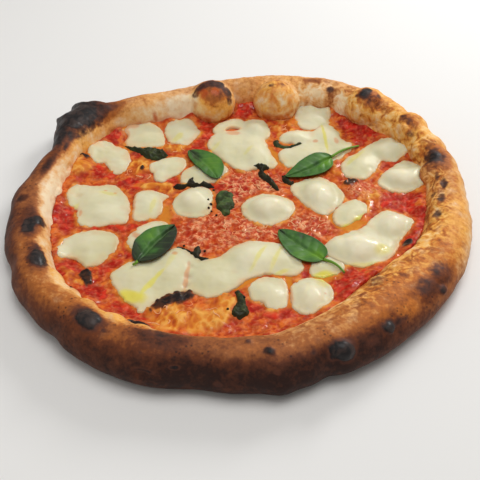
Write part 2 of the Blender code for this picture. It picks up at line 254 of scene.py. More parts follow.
def makeOilGroup():  # olive oil lying on a surface: it deepens, yellows and smooths it
    group, given, made = newGroup("oilFilm", (("Base", "Color"), ("Tint", "Color"), ("Oil", "Float"),
                                              ("Roughness", "Float")), (("Colour", "Color"), ("Roughness", "Float")))
    wet = mixColour(group, calc(group, "MULTIPLY", given["Oil"], 0.85), given["Base"], given["Tint"])
    group.links.new(wet, made["Colour"])
    rough = calc(group, "MULTIPLY", given["Roughness"], calc(group, "SUBTRACT", 1.0, given["Oil"]))
    group.links.new(calc(group, "ADD", rough, calc(group, "MULTIPLY", given["Oil"], 0.08)), made["Roughness"])
    return group


def addOil(tree, colour, tint, oil, roughness):
    node = addNode(tree, "Group", {"node_tree": oilGroup},
                   {"Base": colour, "Tint": (*tint, 1), "Oil": oil, "Roughness": roughness})
    return node.outputs["Colour"], node.outputs["Roughness"]


# crust -----
crustSet = {
    "segments": 840, "rings": 104,
    # every 15 degrees from +X, counter-clockwise, in mm: outer edge, foot of the rim inside, crest
    "outer": (161.5, 166, 170, 175, 173, 166, 156, 149, 151, 154, 157, 155,
              157, 160, 162, 163, 164, 162, 160, 160, 158, 157, 158, 160),
    "foot": (129, 138, 143, 141, 143, 133, 132, 121, 122, 132, 131, 128,
             126, 127, 130, 128, 126, 126, 123, 118, 112, 107, 111, 123),
    "crest": (23, 24, 26, 27, 26, 26, 26, 26, 27, 27, 26, 23,
              22, 23, 24, 26, 28, 29, 29, 29, 29, 27, 25, 23),
    # dents and swells of the outline: angle, degrees to each side, mm
    "outline": ((17, 5, 2.0), (35, 6, -2.4), (88, 9, -2.2), (112, 9, -2.8), (130, 6, -1.6), (157, 6, -4.0), (176, 7, 2.8),
                (203, 6, -2.6), (227, 5, -2.2), (262, 8, -3.0), (279, 4.5, 3.2), (289.5, 4, -3.0)),
    # share across from foot to outer edge, share of the crest's height
    "section": ((-0.08, 0.15), (0.0, 0.21), (0.05, 0.34), (0.10, 0.51), (0.17, 0.70), (0.28, 0.87),
                (0.42, 0.97), (0.56, 1.0), (0.70, 0.965), (0.82, 0.87), (0.92, 0.72), (0.98, 0.56),
                (1.0, 0.43), (0.985, 0.28), (0.93, 0.14), (0.84, 0.05), (0.72, 0.008), (0.60, 0.0)),
    "floor": 4.0,
    # the burnt flap: angle and how far it reaches out there
    "flap": ((130, 0), (134, 5), (136.6, 14), (138.6, 23), (139.4, 22.5), (141, 17), (143.5, 17), (145.8, 18), (147, 13),
             (149, 8), (153, 3), (158, 0)),
    "flapLift": 3.0,
    # round blisters: x, y, z of the middle, radius
    "blisters": ((-21, 127, 14.5, 18.5), (31, 130, 13, 18.5), (102, 117, 16, 16.5), (132.5, 87, 15, 14.0),
                 (70, 136, 14, 11.0), (143, 62, 13, 13.0), (143, 33, 13, 11.0)),
    # small bubbles and pits: angle, share along the section, radius, rise in mm
    "bubbles": ((293, 0.60, 7.2, 3.6), (305.5, 0.60, 4.2, 2.6), (214, 0.24, 8, 1.6), (222, 0.22, 6, 1.8),
                (229, 0.26, 7, 1.6), (238, 0.28, 8, 1.8), (246, 0.26, 6, 1.4), (172, 0.12, 6, 1.6), (162, 0.10, 7, 1.8),
                (351, 0.26, 6, 1.8), (357.5, 0.28, 6, 1.8), (4.5, 0.30, 6, 2.0), (24, 0.22, 7, 1.8), (31, 0.26, 7, 2.0),
                (342, 0.24, 7, 1.6), (333, 0.30, 7, 1.4), (324, 0.30, 7, 1.4), (315, 0.28, 8, 1.6), (44, 0.24, 8, 1.6), (325, 0.63, 4.0, 2.0), (250.5, 0.68, 5.0, -1.8),
                (277, 0.47, 3.4, 1.2), (272.5, 0.39, 3.0, 1.0), (191, 0.33, 7.5, 1.6), (207, 0.37, 8.5, 2.0),
                (234.5, 0.445, 8.0, 1.8), (328, 0.56, 7.0, 1.2), (16, 0.34, 8.0, 1.5), (49.5, 0.33, 5.0, 1.2)),
    # how brown the rim is, every 15 degrees: inner slope, crest, outer face; then how orange it is inside, outside. The
    # outer face is darkest round the front, partly its own baking and partly painted shade, as the front faces away
    # from the key lamp
    "inner": (0.32, 0.38, 0.24, 0.28, 0.14, 0.20, 0.24, 0.02, 0.10, 0.18, 0.22, 0.08,
              0.02, 0.12, 0.14, 0.16, 0.20, 0.40, 0.40, 0.30, 0.28, 0.34, 0.28, 0.28),
    "top": (0.40, 0.42, 0.30, 0.32, 0.34, 0.32, 0.36, 0.30, 0.34, 0.56, 0.64, 0.68,
            0.58, 0.52, 0.48, 0.50, 0.58, 0.66, 0.58, 0.52, 0.48, 0.50, 0.46, 0.34),
    "outside": (0.27, 0.28, 0.30, 0.32, 0.34, 0.36, 0.38, 0.40, 0.42, 0.60, 0.70, 0.74,
                0.84, 0.82, 0.78, 0.84, 0.88, 0.95, 0.98, 0.96, 0.92, 0.72, 0.52, 0.34),
    "warm": (0.75, 0.60, 1.00, 0.85, 0.30, 0.50, 0.40, 0.10, 0.35, 0.45, 0.65, 0.30,
             0.15, 0.35, 0.40, 0.50, 0.50, 0.30, 0.25, 0.30, 0.55, 0.85, 0.95, 0.95),
}


def crustPoints(angle, share):
    s = crustSet
    outer, foot, crest = (around(s[k], angle) for k in ("outer", "foot", "crest"))
    for place, width, reach in s["outline"]:
        outer = outer + reach * bell((angle - place + 180) % 360 - 180, width)
    rows = np.array(s["section"])
    # even steps along the section, as it is at 32 mm wide and 26 mm high, on a smooth curve
    knots = np.concatenate(([0], np.cumsum(np.hypot(*(np.diff(rows, axis=0) * (32, 26)).T))))
    fine = np.linspace(0, knots[-1], 400)
    index = np.clip(np.searchsorted(knots, fine) - 1, 0, len(rows) - 2)
    span = (knots[index + 1] - knots[index])[:, None]
    part = (fine - knots[index])[:, None] / span
    slope = np.gradient(rows, knots, axis=0)
    squared, cubed = part ** 2, part ** 3
    curve = (rows[index] * (2 * cubed - 3 * squared + 1) + slope[index] * span * (cubed - 2 * squared + part)
             + rows[index + 1] * (3 * squared - 2 * cubed) + slope[index + 1] * span * (cubed - squared))
    floorEnd, rimEnd = 0.045, 0.93
    along = np.clip((share - floorEnd) / (rimEnd - floorEnd), 0, 1)
    across = np.interp(along, fine / knots[-1], curve[:, 0])
    height = np.interp(along, fine / knots[-1], curve[:, 1])
    flapReach = np.interp(angle, *zip(*s["flap"]))
    radius = foot + across * (outer - foot)
    radius += flapReach * np.clip(across, 0, 1) ** 2 * smoothStep(0.1, 0.7, height)
    z = height * (crest + s["flapLift"] * smoothStep(0, 14, flapReach))
    onFloor = share < floorEnd
    radius = np.where(onFloor, radius * share / floorEnd, radius)
    z = np.where(onFloor, s["floor"], z)
    below = np.clip((share - rimEnd) / (1 - rimEnd), 0, 1)
    return radius * (1 - below), z, outer, foot, crest, along


def spotOnRim(angle, along, spotAngle, spotAlong, halfLength, halfWidth):  # as spotShare, on the rim's skin
    dx = ((angle - spotAngle + 180) % 360 - 180) * math.pi / 180 * 150 / halfLength
    return np.hypot(dx, (along - spotAlong) * 105 / halfWidth)


def makeCrust(material):
    s = crustSet
    bpy.ops.object.select_all(action="DESELECT")
    bpy.ops.mesh.primitive_uv_sphere_add(segments=s["segments"], ring_count=s["rings"], radius=1)
    crust = bpy.context.object
    crust.name = "crust"
    raw = (coordsOf(crust) + planShift) * mm
    angle = np.degrees(np.arctan2(raw[:, 1], raw[:, 0])) % 360
    share = np.arccos(np.clip(raw[:, 2], -1, 1)) / math.pi
    radius, z, outer, foot, crest, along = crustPoints(angle, share)
    turn = np.radians(angle)
    direction = np.stack([np.cos(turn), np.sin(turn), np.zeros_like(turn)], 1)
    points = direction * radius[:, None]
    points[:, 2] = z
    # the rim swells from its core: round blisters, then lumps
    core = direction * ((outer + foot) / 2)[:, None]
    core[:, 2] = crest * 0.36
    ray = points - core
    swell = np.linalg.norm(ray, axis=1)
    ray /= np.maximum(swell, 0.001)[:, None]
    onRim = smoothStep(foot - 1, foot + 7, radius) * smoothStep(1, 8, z)
    for bx, by, bz, size in s["blisters"]:
        toMiddle = np.array((bx, by, bz)) - core
        forward = (toMiddle * ray).sum(1)
        inside = size ** 2 - (toMiddle ** 2).sum(1) + forward ** 2
        near = (inside > 0) & (np.linalg.norm(toMiddle, axis=1) < size + 20) & (radius > foot - 3) & (share > 0.045)
        hit = np.where(near, forward + np.sqrt(np.clip(inside, 0, None)), -99)
        swell = np.where(near, smoothMax(swell, hit, 2.5), swell)
    bumpy = smoothStep(75, 40, np.abs((angle - 45 + 180) % 360 - 180))  # the back right is rough, the front smooth
    burnt = smoothStep(1.3, 0.6, spotOnRim(angle, along, 143.5, 0.45, 24, 30))
    swell += onRim * (1.1 * lumps(points, 30, 3) + 0.5 * lumps(points, 13, 8)
                      + (0.15 + 0.45 * bumpy + 0.5 * burnt) * lumps(points, 6, 5)
                      + (0.08 + 0.2 * bumpy + 0.2 * burnt) * lumps(points, 2.6, 2))
    # the inner foot runs in and out in soft folds
    swell += smoothStep(0.34, 0.10, along) * onRim * (1.6 * lumps(points, 15, 11) + 0.9 * lumps(points, 7, 12))
    for place, alongAt, size, rise in s["bubbles"]:
        away = spotOnRim(angle, along, place, alongAt, size, size)
        swell += rise * np.clip(1 - away ** 2, 0, 1) ** 0.75
    points = core + ray * swell[:, None]
    points[:, 2] = np.maximum(points[:, 2], 0)
    setCoords(crust, points)
    bpy.ops.object.shade_smooth()
    paintCrust(crust, angle, along, points, foot)
    finishPiece(crust, material, "baked_dough", "dough")
    print("crust:", len(crust.data.polygons), "faces")
    return crust


# spots on the rim: angle, share along its section (0 at the sauce, 0.45 the crest, 0.75 halfway down outside),
# half length round the rim and half width across it in mm, strength
crustSpots = {
    "char": ((16.5, 0.33, 10, 10, 1.05), (4.7, 0.37, 6, 4.5, 0.85), (358.7, 0.34, 6, 4, 0.8), (352, 0.31, 6, 4.5, 0.8),
             (8.5, 0.31, 5, 3, 0.7), (48.5, 0.33, 4.5, 4, 1.0), (33, 0.36, 7, 4, 0.55), (29, 0.28, 4, 5, 0.5),
             (60.5, 0.31, 2.5, 4.5, 0.75), (144, 0.50, 20, 24, 1.6), (145, 0.66, 20, 22, 1.3), (137, 0.38, 10, 9, 0.9),
             (152, 0.38, 8, 8, 0.9), (153, 0.52, 14, 18, 1.2), (314.6, 0.31, 8, 5, 0.6), (322, 0.53, 10, 5, 0.7),
             (190.8, 0.30, 5, 8, 1.2), (193.5, 0.40, 10, 7, 1.35), (207, 0.36, 12, 8, 1.35), (234.5, 0.445, 11, 8, 1.3),
             (239.5, 0.475, 2.6, 2.5, 0.8), (252, 0.36, 10, 5.5, 0.75), (250.5, 0.66, 6.5, 2.0, 0.9),
             (257, 0.61, 3.5, 2, 0.9), (249.5, 0.54, 1.7, 1.6, 0.9), (266, 0.72, 3.2, 3, 0.8),
             (272.5, 0.39, 2.6, 3, 0.8), (277, 0.47, 3.8, 3.2, 1.0), (278, 0.60, 2.2, 2.2, 0.8),
             (286.5, 0.55, 2.6, 2.6, 0.8), (293, 0.60, 8, 8, 1.35), (305.5, 0.59, 5, 4.6, 1.2), (309, 0.60, 8, 3.5, 0.6),
             (324.5, 0.62, 4, 3, 0.9), (329, 0.52, 9, 5.5, 0.7), (318, 0.18, 9, 3, 0.6), (300, 0.62, 6, 4, 0.6),
             (341, 0.22, 5, 4, 0.55), (2, 0.26, 3, 4, 0.6)),
    "brown": ((16, 0.36, 15, 16, 0.25), (33, 0.38, 8, 6, 0.15), (46, 0.34, 12, 8, 0.25), (60, 0.20, 4, 12, 0.3),
              (67, 0.42, 9, 4, 0.25), (139, 0.36, 18, 16, 0.35), (156, 0.35, 5, 3, 0.4), (166, 0.40, 12, 5, 0.3),
              (181.5, 0.49, 3.5, 4.5, 0.4), (192, 0.37, 17, 13, 0.35), (207, 0.38, 16, 10, 0.35),
              (234.5, 0.45, 14, 9, 0.3), (252, 0.40, 18, 9, 0.25), (318, 0.18, 15, 7, 0.35), (326, 0.57, 17, 7, 0.3),
              (314, 0.57, 14, 7, 0.3), (300, 0.62, 10, 9, 0.15), (345, 0.16, 8, 6, 0.2), (355, 0.20, 8, 8, 0.2)),
    "cream": ((110, 0.25, 14, 13, 0.3), (38.5, 0.25, 4, 12, 0.15), (55.5, 0.20, 4, 11, 0.25), (66, 0.28, 8, 10, 0.2),
              (172, 0.32, 22, 6, 0.25), (200, 0.30, 8, 6, 0.2), (186, 0.27, 8, 6, 0.2),
              (176, 0.20, 20, 11, 0.25), (218, 0.30, 8, 6, 0.25), (26, 0.47, 10, 6, 0.15), (340, 0.66, 18, 7, 0.12)),
    "golden": ((29, 0.22, 11, 13, 0.9), (45, 0.20, 9, 12, 0.7), (338, 0.22, 22, 14, 0.7), (3, 0.14, 12, 8, 0.7),
               (149, 0.14, 9, 7, 0.8), (215, 0.27, 12, 8, 0.8), (227, 0.29, 10, 7, 0.7), (238, 0.30, 12, 8, 1.0),
               (247, 0.28, 8, 6, 0.7), (262, 0.20, 12, 5, 0.5), (292, 0.20, 14, 6, 0.5), (313, 0.58, 12, 7, 0.7)),
    "stain": ((121.5, 0.16, 2.2, 7, 1.0), (123, 0.10, 4, 4, 0.8), (212, 0.18, 7, 7, 1.0), (222, 0.20, 5, 6, 0.8),
              (231, 0.22, 5, 5, 0.8), (242, 0.24, 7, 4, 0.7), (8, 0.08, 10, 5, 0.6), (66, 0.08, 10, 6, 0.8),
              (52, 0.06, 10, 5, 0.7), (88, 0.08, 6, 6, 0.9)),
}


# on the round blisters: x, y, z, radius, strength
onBlisters = (("char", -34, 121, 27, 5, 0.7), ("char", -29, 125, 31, 6, 0.85), ("char", -22, 128, 33, 6, 0.85),
              ("char", -14, 128, 32, 6, 0.85), ("char", -8, 124, 28, 6, 0.85), ("char", -6, 118, 22, 4, 0.65),
              ("brown", -21, 121, 30, 13, 0.42), ("stain", -28, 118, 29, 5, 0.9), ("stain", -18, 118, 31, 4, 0.8),
              ("stain", -36, 117, 20, 5, 0.6),
              ("brown", -22, 115, 20, 20, 0.12), ("golden", -20, 118, 18, 22, 0.8),
              ("golden", 31, 122, 18, 20, 0.95), ("brown", 31, 118, 20, 18, -0.08), ("golden", 100, 112, 22, 20, 0.9),
              ("golden", 131, 84, 22, 18, 0.9), ("golden", 143, 60, 20, 14, 0.8),
              ("stain", 31, 117, 24, 10, 0.6), ("stain", 20, 119, 24, 7, 0.6), ("stain", 43, 120, 22, 6, 0.5),
              ("char", 27, 127, 30, 3, 0.6), ("char", 35, 128, 29.5, 3, 0.5), ("brown", 31, 126, 28, 12, 0.15),
              ("brown", 102, 108, 28, 10, 0.18), ("char", 101, 117, 32, 4.5, 1.0), ("brown", 132, 82, 27, 9, 0.15),
              ("char", 94, 113, 29, 2.5, 0.6), ("char", 110, 112, 29, 2.5, 0.6), ("char", 126, 88, 29, 3, 0.6))


def paintCrust(crust, angle, along, points, foot):
    s = crustSet
    wobble = 0.5 * lumps(points, 10, 21) + 0.4 * lumps(points, 4.5, 22) + 0.25 * lumps(points, 2, 23)
    inner, top, outside, warm = (around(s[k], angle) for k in ("inner", "top", "outside", "warm"))
    # browning across the section; on the outer face round the front this tone also holds painted shade
    tone = inner + (top - inner) * smoothStep(0.22, 0.40, along) + (outside - top) * smoothStep(0.46, 0.62, along)
    masks = {}
    for kind, spots in crustSpots.items():
        masks[kind] = np.zeros(len(points))
        for spotAngle, spotAlong, halfLength, halfWidth, strength in spots:
            away = spotOnRim(angle, along, spotAngle, spotAlong, halfLength, halfWidth) + wobble * 0.5
            masks[kind] = np.maximum(masks[kind], strength * smoothStep(1.6, 0.35, away))
    tone = tone + masks["brown"] - masks["cream"] + 0.10 * wobble
    tone += (0.24 - tone) * 0.8 * masks["golden"]
    warm = np.maximum(warm * smoothStep(0.75, 0.5, along), masks["golden"])
    tone += 0.12 * smoothStep(0.90, 1.0, along)
    radius = np.hypot(points[:, 0], points[:, 1])
    stain = smoothStep(5, -2, radius - foot + 5 * wobble) * (along < 0.35)
    stain = np.maximum(stain * smoothStep(17, 10, points[:, 2] + 3 * wobble), masks["stain"])
    for kind, x, y, z, size, strength in onBlisters:
        away = np.linalg.norm(points - (x, y, z), axis=1) / size + 0.45 * wobble
        spot = strength * smoothStep(1.25, 0.6, away)
        if kind == "char":
            masks["char"] = np.maximum(masks["char"], spot)
        elif kind == "stain":
            stain = np.maximum(stain, spot)
        elif kind == "golden":
            warm = np.maximum(warm, spot)
        else:
            tone = tone + spot
    rough = smoothStep(95, 55, np.abs((angle - 5 + 180) % 360 - 180)) * smoothStep(0.52, 0.34, along)
    rough = np.clip(np.maximum(rough * smoothStep(0, 0.12, along), 0.8 * masks["char"]), 0.12, 1)
    cracks = smoothStep(0.22, 0.02, np.abs(lumps(points + 1.5 * lumps(points, 5, 26)[:, None], 5.5, 25)))
    paint(crust, "bake", np.clip(masks["char"] / 1.5, 0, 1), np.clip(tone, 0, 1), warm, stain)
    paint(crust, "skin", rough, cracks, smoothStep(0.5, 0.75, along), np.zeros(len(points)))


def crustMaterial():
    material, tree, shader, coords = newMaterial("baked_crust")
    char, tone, warm, stain = attributeOf(tree, "bake")
    rugged, cracks, outside, _ = attributeOf(tree, "skin")
    wide, middle, fine, grain = (noise(tree, coords, size, detail)
                                 for size, detail in ((14, 3), (4.5, 3), (1.7, 3), (0.8, 2)))
    patchy = noise(tree, coords, 3.4, 3, 1.2)
    mottled = tone
    for value, strength in ((wide, 0.30), (middle, 0.30), (fine, 0.34), (grain, 0.22)):
        mottled = calc(tree, "ADD", mottled, calc(tree, "MULTIPLY", calc(tree, "SUBTRACT", value, 0.5), strength))
    mottled = calc(tree, "ADD", mottled, calc(tree, "MULTIPLY", calc(tree, "SUBTRACT", patchy, 0.48),
                   calc(tree, "MULTIPLY", rugged, 1.1)))
    plain = ramp(tree, mottled, (0.0, (0.86, 0.70, 0.49)), (0.27, (0.70, 0.37, 0.165)), (0.50, (0.32, 0.108, 0.036)),
                 (0.75, (0.120, 0.037, 0.018)), (1.0, (0.030, 0.012, 0.009)))
    golden = ramp(tree, mottled, (0.0, (0.88, 0.64, 0.30)), (0.27, (0.84, 0.41, 0.085)), (0.50, (0.54, 0.16, 0.022)),
                  (0.75, (0.20, 0.048, 0.011)), (1.0, (0.045, 0.015, 0.009)))
    share = calc(tree, "MULTIPLY", calc(tree, "MULTIPLY", warm, 1.25), step(tree, middle, 0.2, 0.55), True)
    colour = mixColour(tree, share, plain, golden)
    lines = calc(tree, "MULTIPLY", calc(tree, "MULTIPLY", cracks, rugged), step(tree, mottled, 0.22, 0.5))
    colour = mixColour(tree, calc(tree, "MULTIPLY", lines, 0.4), colour, (0.17, 0.055, 0.022))
    specks = addNode(tree, "TexVoronoi", None, {"Vector": coords, "Scale": 330.0, "Randomness": 1.0})
    dots = calc(tree, "MULTIPLY", step(tree, specks.outputs["Distance"], 0.34, 0.12),
                step(tree, noise(tree, coords, 9, 1), 0.50, 0.64))
    dots = calc(tree, "MULTIPLY", dots, step(tree, mottled, 0.25, 0.6))
    colour = mixColour(tree, calc(tree, "MULTIPLY", dots, 0.75), colour, (0.035, 0.015, 0.011))
    # scorching starts as a brown halo and ends black
    charred = calc(tree, "ADD", char, calc(tree, "MULTIPLY", calc(tree, "SUBTRACT", fine, 0.5), 0.45))
    charred = calc(tree, "ADD", charred, calc(tree, "MULTIPLY", calc(tree, "SUBTRACT", middle, 0.5), 0.55))
    colour = mixColour(tree, calc(tree, "MULTIPLY", step(tree, charred, 0.10, 0.50), 0.9), colour, (0.105, 0.034, 0.020))
    black = mixColour(tree, step(tree, patchy, 0.42, 0.62), (0.013, 0.010, 0.010), (0.042, 0.026, 0.022))
    colour = mixColour(tree, step(tree, charred, 0.34, 0.72), colour, black)
    colour, rough = addOil(tree, colour, (0.50, 0.085, 0.018), calc(tree, "MULTIPLY", stain,
                           step(tree, middle, 0.35, 0.6)), 0.60)
    tree.links.new(colour, shader.inputs["Base Color"])
    tree.links.new(rough, shader.inputs["Roughness"])
    shader.inputs["Specular IOR Level"].default_value = 0.16
    tree.links.new(calc(tree, "MULTIPLY", step(tree, charred, 0.55, 0.9), 0.25), shader.inputs["Coat Weight"])
    shader.inputs["Coat Roughness"].default_value = 0.28
    normal = bump(tree, wide, 0.5, 1.2)
    normal = bump(tree, middle, 0.55, 0.7, normal)
    normal = bump(tree, fine, 0.6, 0.4, normal)
    tree.links.new(bump(tree, grain, 0.5, 0.22, normal), shader.inputs["Normal"])
    return material


# sauce -----
sauceSet = {
    "step": 0.85, "height": 6.0, "edgeRise": 4.0,
    # swellings under the sauce: x, y, spread, rise
    "bubbles": ((-38, -102, 17, 3.0), (-10, -100, 14, 2.2), (-76, 45, 13, 1.8), (-114, 48, 13, 3.0),
                (82, 27, 11, 2.4), (-110, -63, 12, 1.6), (30, 122, 13, 2.0), (70, -75, 13, 2.2)),
    # what lies where: x, y, half length, half width, turn (strength 1 unless given)
    "red": ((-118.5, -6.5, 13, 9, 80), (-90.5, -16.5, 22, 3.5, 0), (-70.5, -40, 20, 7, -62), (-110.5, -60, 10, 8, 0),
            (-83.5, -55, 9, 7, 30), (-90.5, -78, 12, 7, -40), (-66.5, -95, 13, 5, -25), (-97.5, 43.5, 13, 6, -25),
            (-80.5, 30.5, 10, 6, 0), (-97.5, 87, 11, 6, 50), (-55.5, 36.5, 9, 6, 20), (-26, 100, 6, 18, 0), (-31, 81, 6, 12, 0),
            (4, 126, 6, 10, 0), (16, 134, 7, 7, 0), (28, 116, 7, 12, 10), (29, 101, 5, 10, 0), (44, 125, 6, 10, 0),
            (97.5, 101, 16, 9, -35), (93.5, 83, 6, 9, -30), (114.5, 11.5, 13, 18, -15), (126.5, -11.5, 8, 18, 15), (113.5, -28, 7, 12, 30),
            (70.5, -73, 12, 19, -8), (12, -91, 9, 6, 0), (28, -97, 12, 4, 0), (44, -58, 5, 9, 0), (-15, 30.5, 9, 8, 0),
            (0, 32.5, 10, 12, 0), (-66.5, 68.5, 12, 4, 0), (-72.5, 22.5, 5, 9, 0), (110.5, 54.5, 20, 4, -15), (-118.5, 42.5, 5, 5, 0)),
    "pulp": ((-12, -19.5, 32, 22, 0), (12, -21.5, 22, 14, 0), (10, 32.5, 22, 16, 0), (46, -13.5, 14, 14, 0),
             (-6, 14.5, 8, 20, 0), (-30, -28, 20, 16, 0), (90.5, 24.5, 12, 12, 0), (55.5, -17.5, 12, 12, 0), (-66.5, -3.5, 5, 5, 0)),
    "melt": ((-34, -102, 24, 12, -8), (-8, -94, 12, 14, 0), (-118.5, 54.5, 10, 14, -10), (-73.5, 52.5, 8, 12, 0), (85.5, 22.5, 12, 9, 0),
             (72.5, 46.5, 8, 9, 0), (-47.5, 76, 9, 6, 0), (-50.5, 24.5, 6, 5, 0), (36, 107, 10, 14, 0), (-54.5, 16.5, 4, 10, 0),
             (93.5, 15.5, 10, 6, 0), (-104.5, -68, 10, 5, -40), (125.5, 101, 8, 14, 30), (-60.5, 29.5, 14, 4, 0), (80.5, -17.5, 12, 5, 0)),
    "oil": ((78.5, -13.5, 12, 5, 20), (66.5, -5.5, 4, 12, 20), (5, -70, 12, 3, 40), (33, -68, 3, 8, 0), (-34, -74, 3, 10, 0),
            (57.5, -64, 9, 6, 0), (-66.5, -84, 12, 5, -25), (90.5, 46.5, 12, 4, 50), (28, 64.5, 4, 14, 20), (-50.5, -5.5, 4, 12, 0)),
    "burn": ((-97.5, -66, 3.6, 7.5, 15), (-40, -86, 15, 6, 28), (82, 31, 5, 5, 0), (-71, 48, 1.6, 2.6, 0),
             (-118.5, 60.5, 9, 1.8, -15), (-105.5, -81, 3, 2.5, 0), (-58.5, -110, 8, 2.2, -10),
             (113.5, -36, 5, 3, 50), (100.5, -60, 9, 2.6, 40)),
}


def sauceBase(x, y):  # top of the sauce without its pulp
    s = sauceSet
    angle = np.degrees(np.arctan2(y, x))
    foot = around(crustSet["foot"], angle)
    ragged = lumps(np.stack([x, y, np.zeros_like(x)], 1), 11, 17)
    z = s["height"] + s["edgeRise"] * smoothStep(11, -1, foot - np.hypot(x, y)) * (1 + 0.7 * ragged)
    for bx, by, spread, rise in s["bubbles"]:
        z = z + rise * bell(np.hypot(x - bx, y - by), spread)
    return z


def patches(x, y, flat, spots, seed):  # mask of oval spots with ragged edges
    ragged = 0.45 * lumps(flat, 8, seed) + 0.3 * lumps(flat, 3.5, seed + 1)
    total = np.zeros(len(x))
    for spot in spots:
        away = spotShare(x, y, spot) + ragged
        total = np.maximum(total, smoothStep(1.25, 0.65, away))
    return total


def nearCheese(x, y):  # 1 along the melted edges, falling off over a few mm
    near = np.zeros(len(x))
    for seed, piece in enumerate(cheeseSet["pieces"].values()):
        line = curveThrough(piece["outline"], 40 + 5 * seed, cheeseSet["swell"])
        (x0, y0), (x1, y1) = line.min(0) - 5, line.max(0) + 5
        around = (x > x0) & (x < x1) & (y > y0) & (y < y1)
        edge, _ = toLine(x[around], y[around], line)
        near[around] = np.maximum(near[around], np.exp(-np.clip(edge, 0, None) / 1.3) * (edge > -2))
    return near


def makeSauce(material):
    s = sauceSet
    sauce = newGrid("sauce", -148, 148, -136, 148, s["step"])
    points = coordsOf(sauce)
    foot = around(crustSet["foot"], np.degrees(np.arctan2(points[:, 1], points[:, 0])))
    keepVertices(sauce, np.hypot(points[:, 0], points[:, 1]) < foot + 3)
    points = coordsOf(sauce)
    x, y = points[:, 0], points[:, 1]
    flat = np.stack([x, y, np.zeros_like(x)], 1)
    red, pulp, melt, oil, burn = (patches(x, y, flat, s[k], 90 + 2 * i)
                                  for i, k in enumerate(("red", "pulp", "melt", "oil", "burn")))
    melt = np.maximum(melt, nearCheese(x, y) * (0.55 + 0.9 * lumps(flat, 8, 78)))
    # soft pulp in lumps with creases, and melted cheese drawn out in strings over it
    warp = flat + np.stack([2.5 * lumps(flat, 7, 61), 2.5 * lumps(flat, 7, 62), 0 * x], 1)
    flesh = np.abs(lumps(warp, 6.5, 31)) * 1.5 + np.abs(lumps(warp, 3.2, 32)) * 0.8 + 0.3 * lumps(flat, 1.9, 33)
    strings = 1 - np.minimum(np.abs(lumps(warp * (1, 1.5, 1), 5.5, 64)), np.abs(lumps(warp * (1.5, 1, 1), 6.5, 65))) * 4
    strings = np.clip(strings, 0, 1) ** 1.5
    wrinkles = 0.75 * np.clip(1 - np.abs(lumps(warp * (1.1, 0.6, 1), 8.5, 67)) * 1.8, 0, 1)
    wrinkles = wrinkles + 0.35 * np.clip(1 - np.abs(lumps(warp * (1, 0.6, 1), 3.4, 68)) * 2.4, 0, 1)
    relief = (0.75 * flesh * (1 - 0.5 * melt) + 0.6 * strings * np.maximum(pulp, 0.35) + 1.1 * wrinkles * melt
              + (1.2 + 1.0 * wrinkles) * burn)
    points[:, 2] = sauceBase(x, y) + relief * (1 - 0.6 * oil)
    setCoords(sauce, points)
    paint(sauce, "sauce", red, melt, pulp, oil)
    paint(sauce, "relief", strings, wrinkles, burn, np.clip(flesh / 1.6, 0, 1))
    closeUnder(sauce, 4.2)
    bpy.ops.object.shade_smooth()
    finishPiece(sauce, material, "tomato_sauce", "tomato_sauce")
    print("sauce:", len(sauce.data.polygons), "faces")
    return sauce


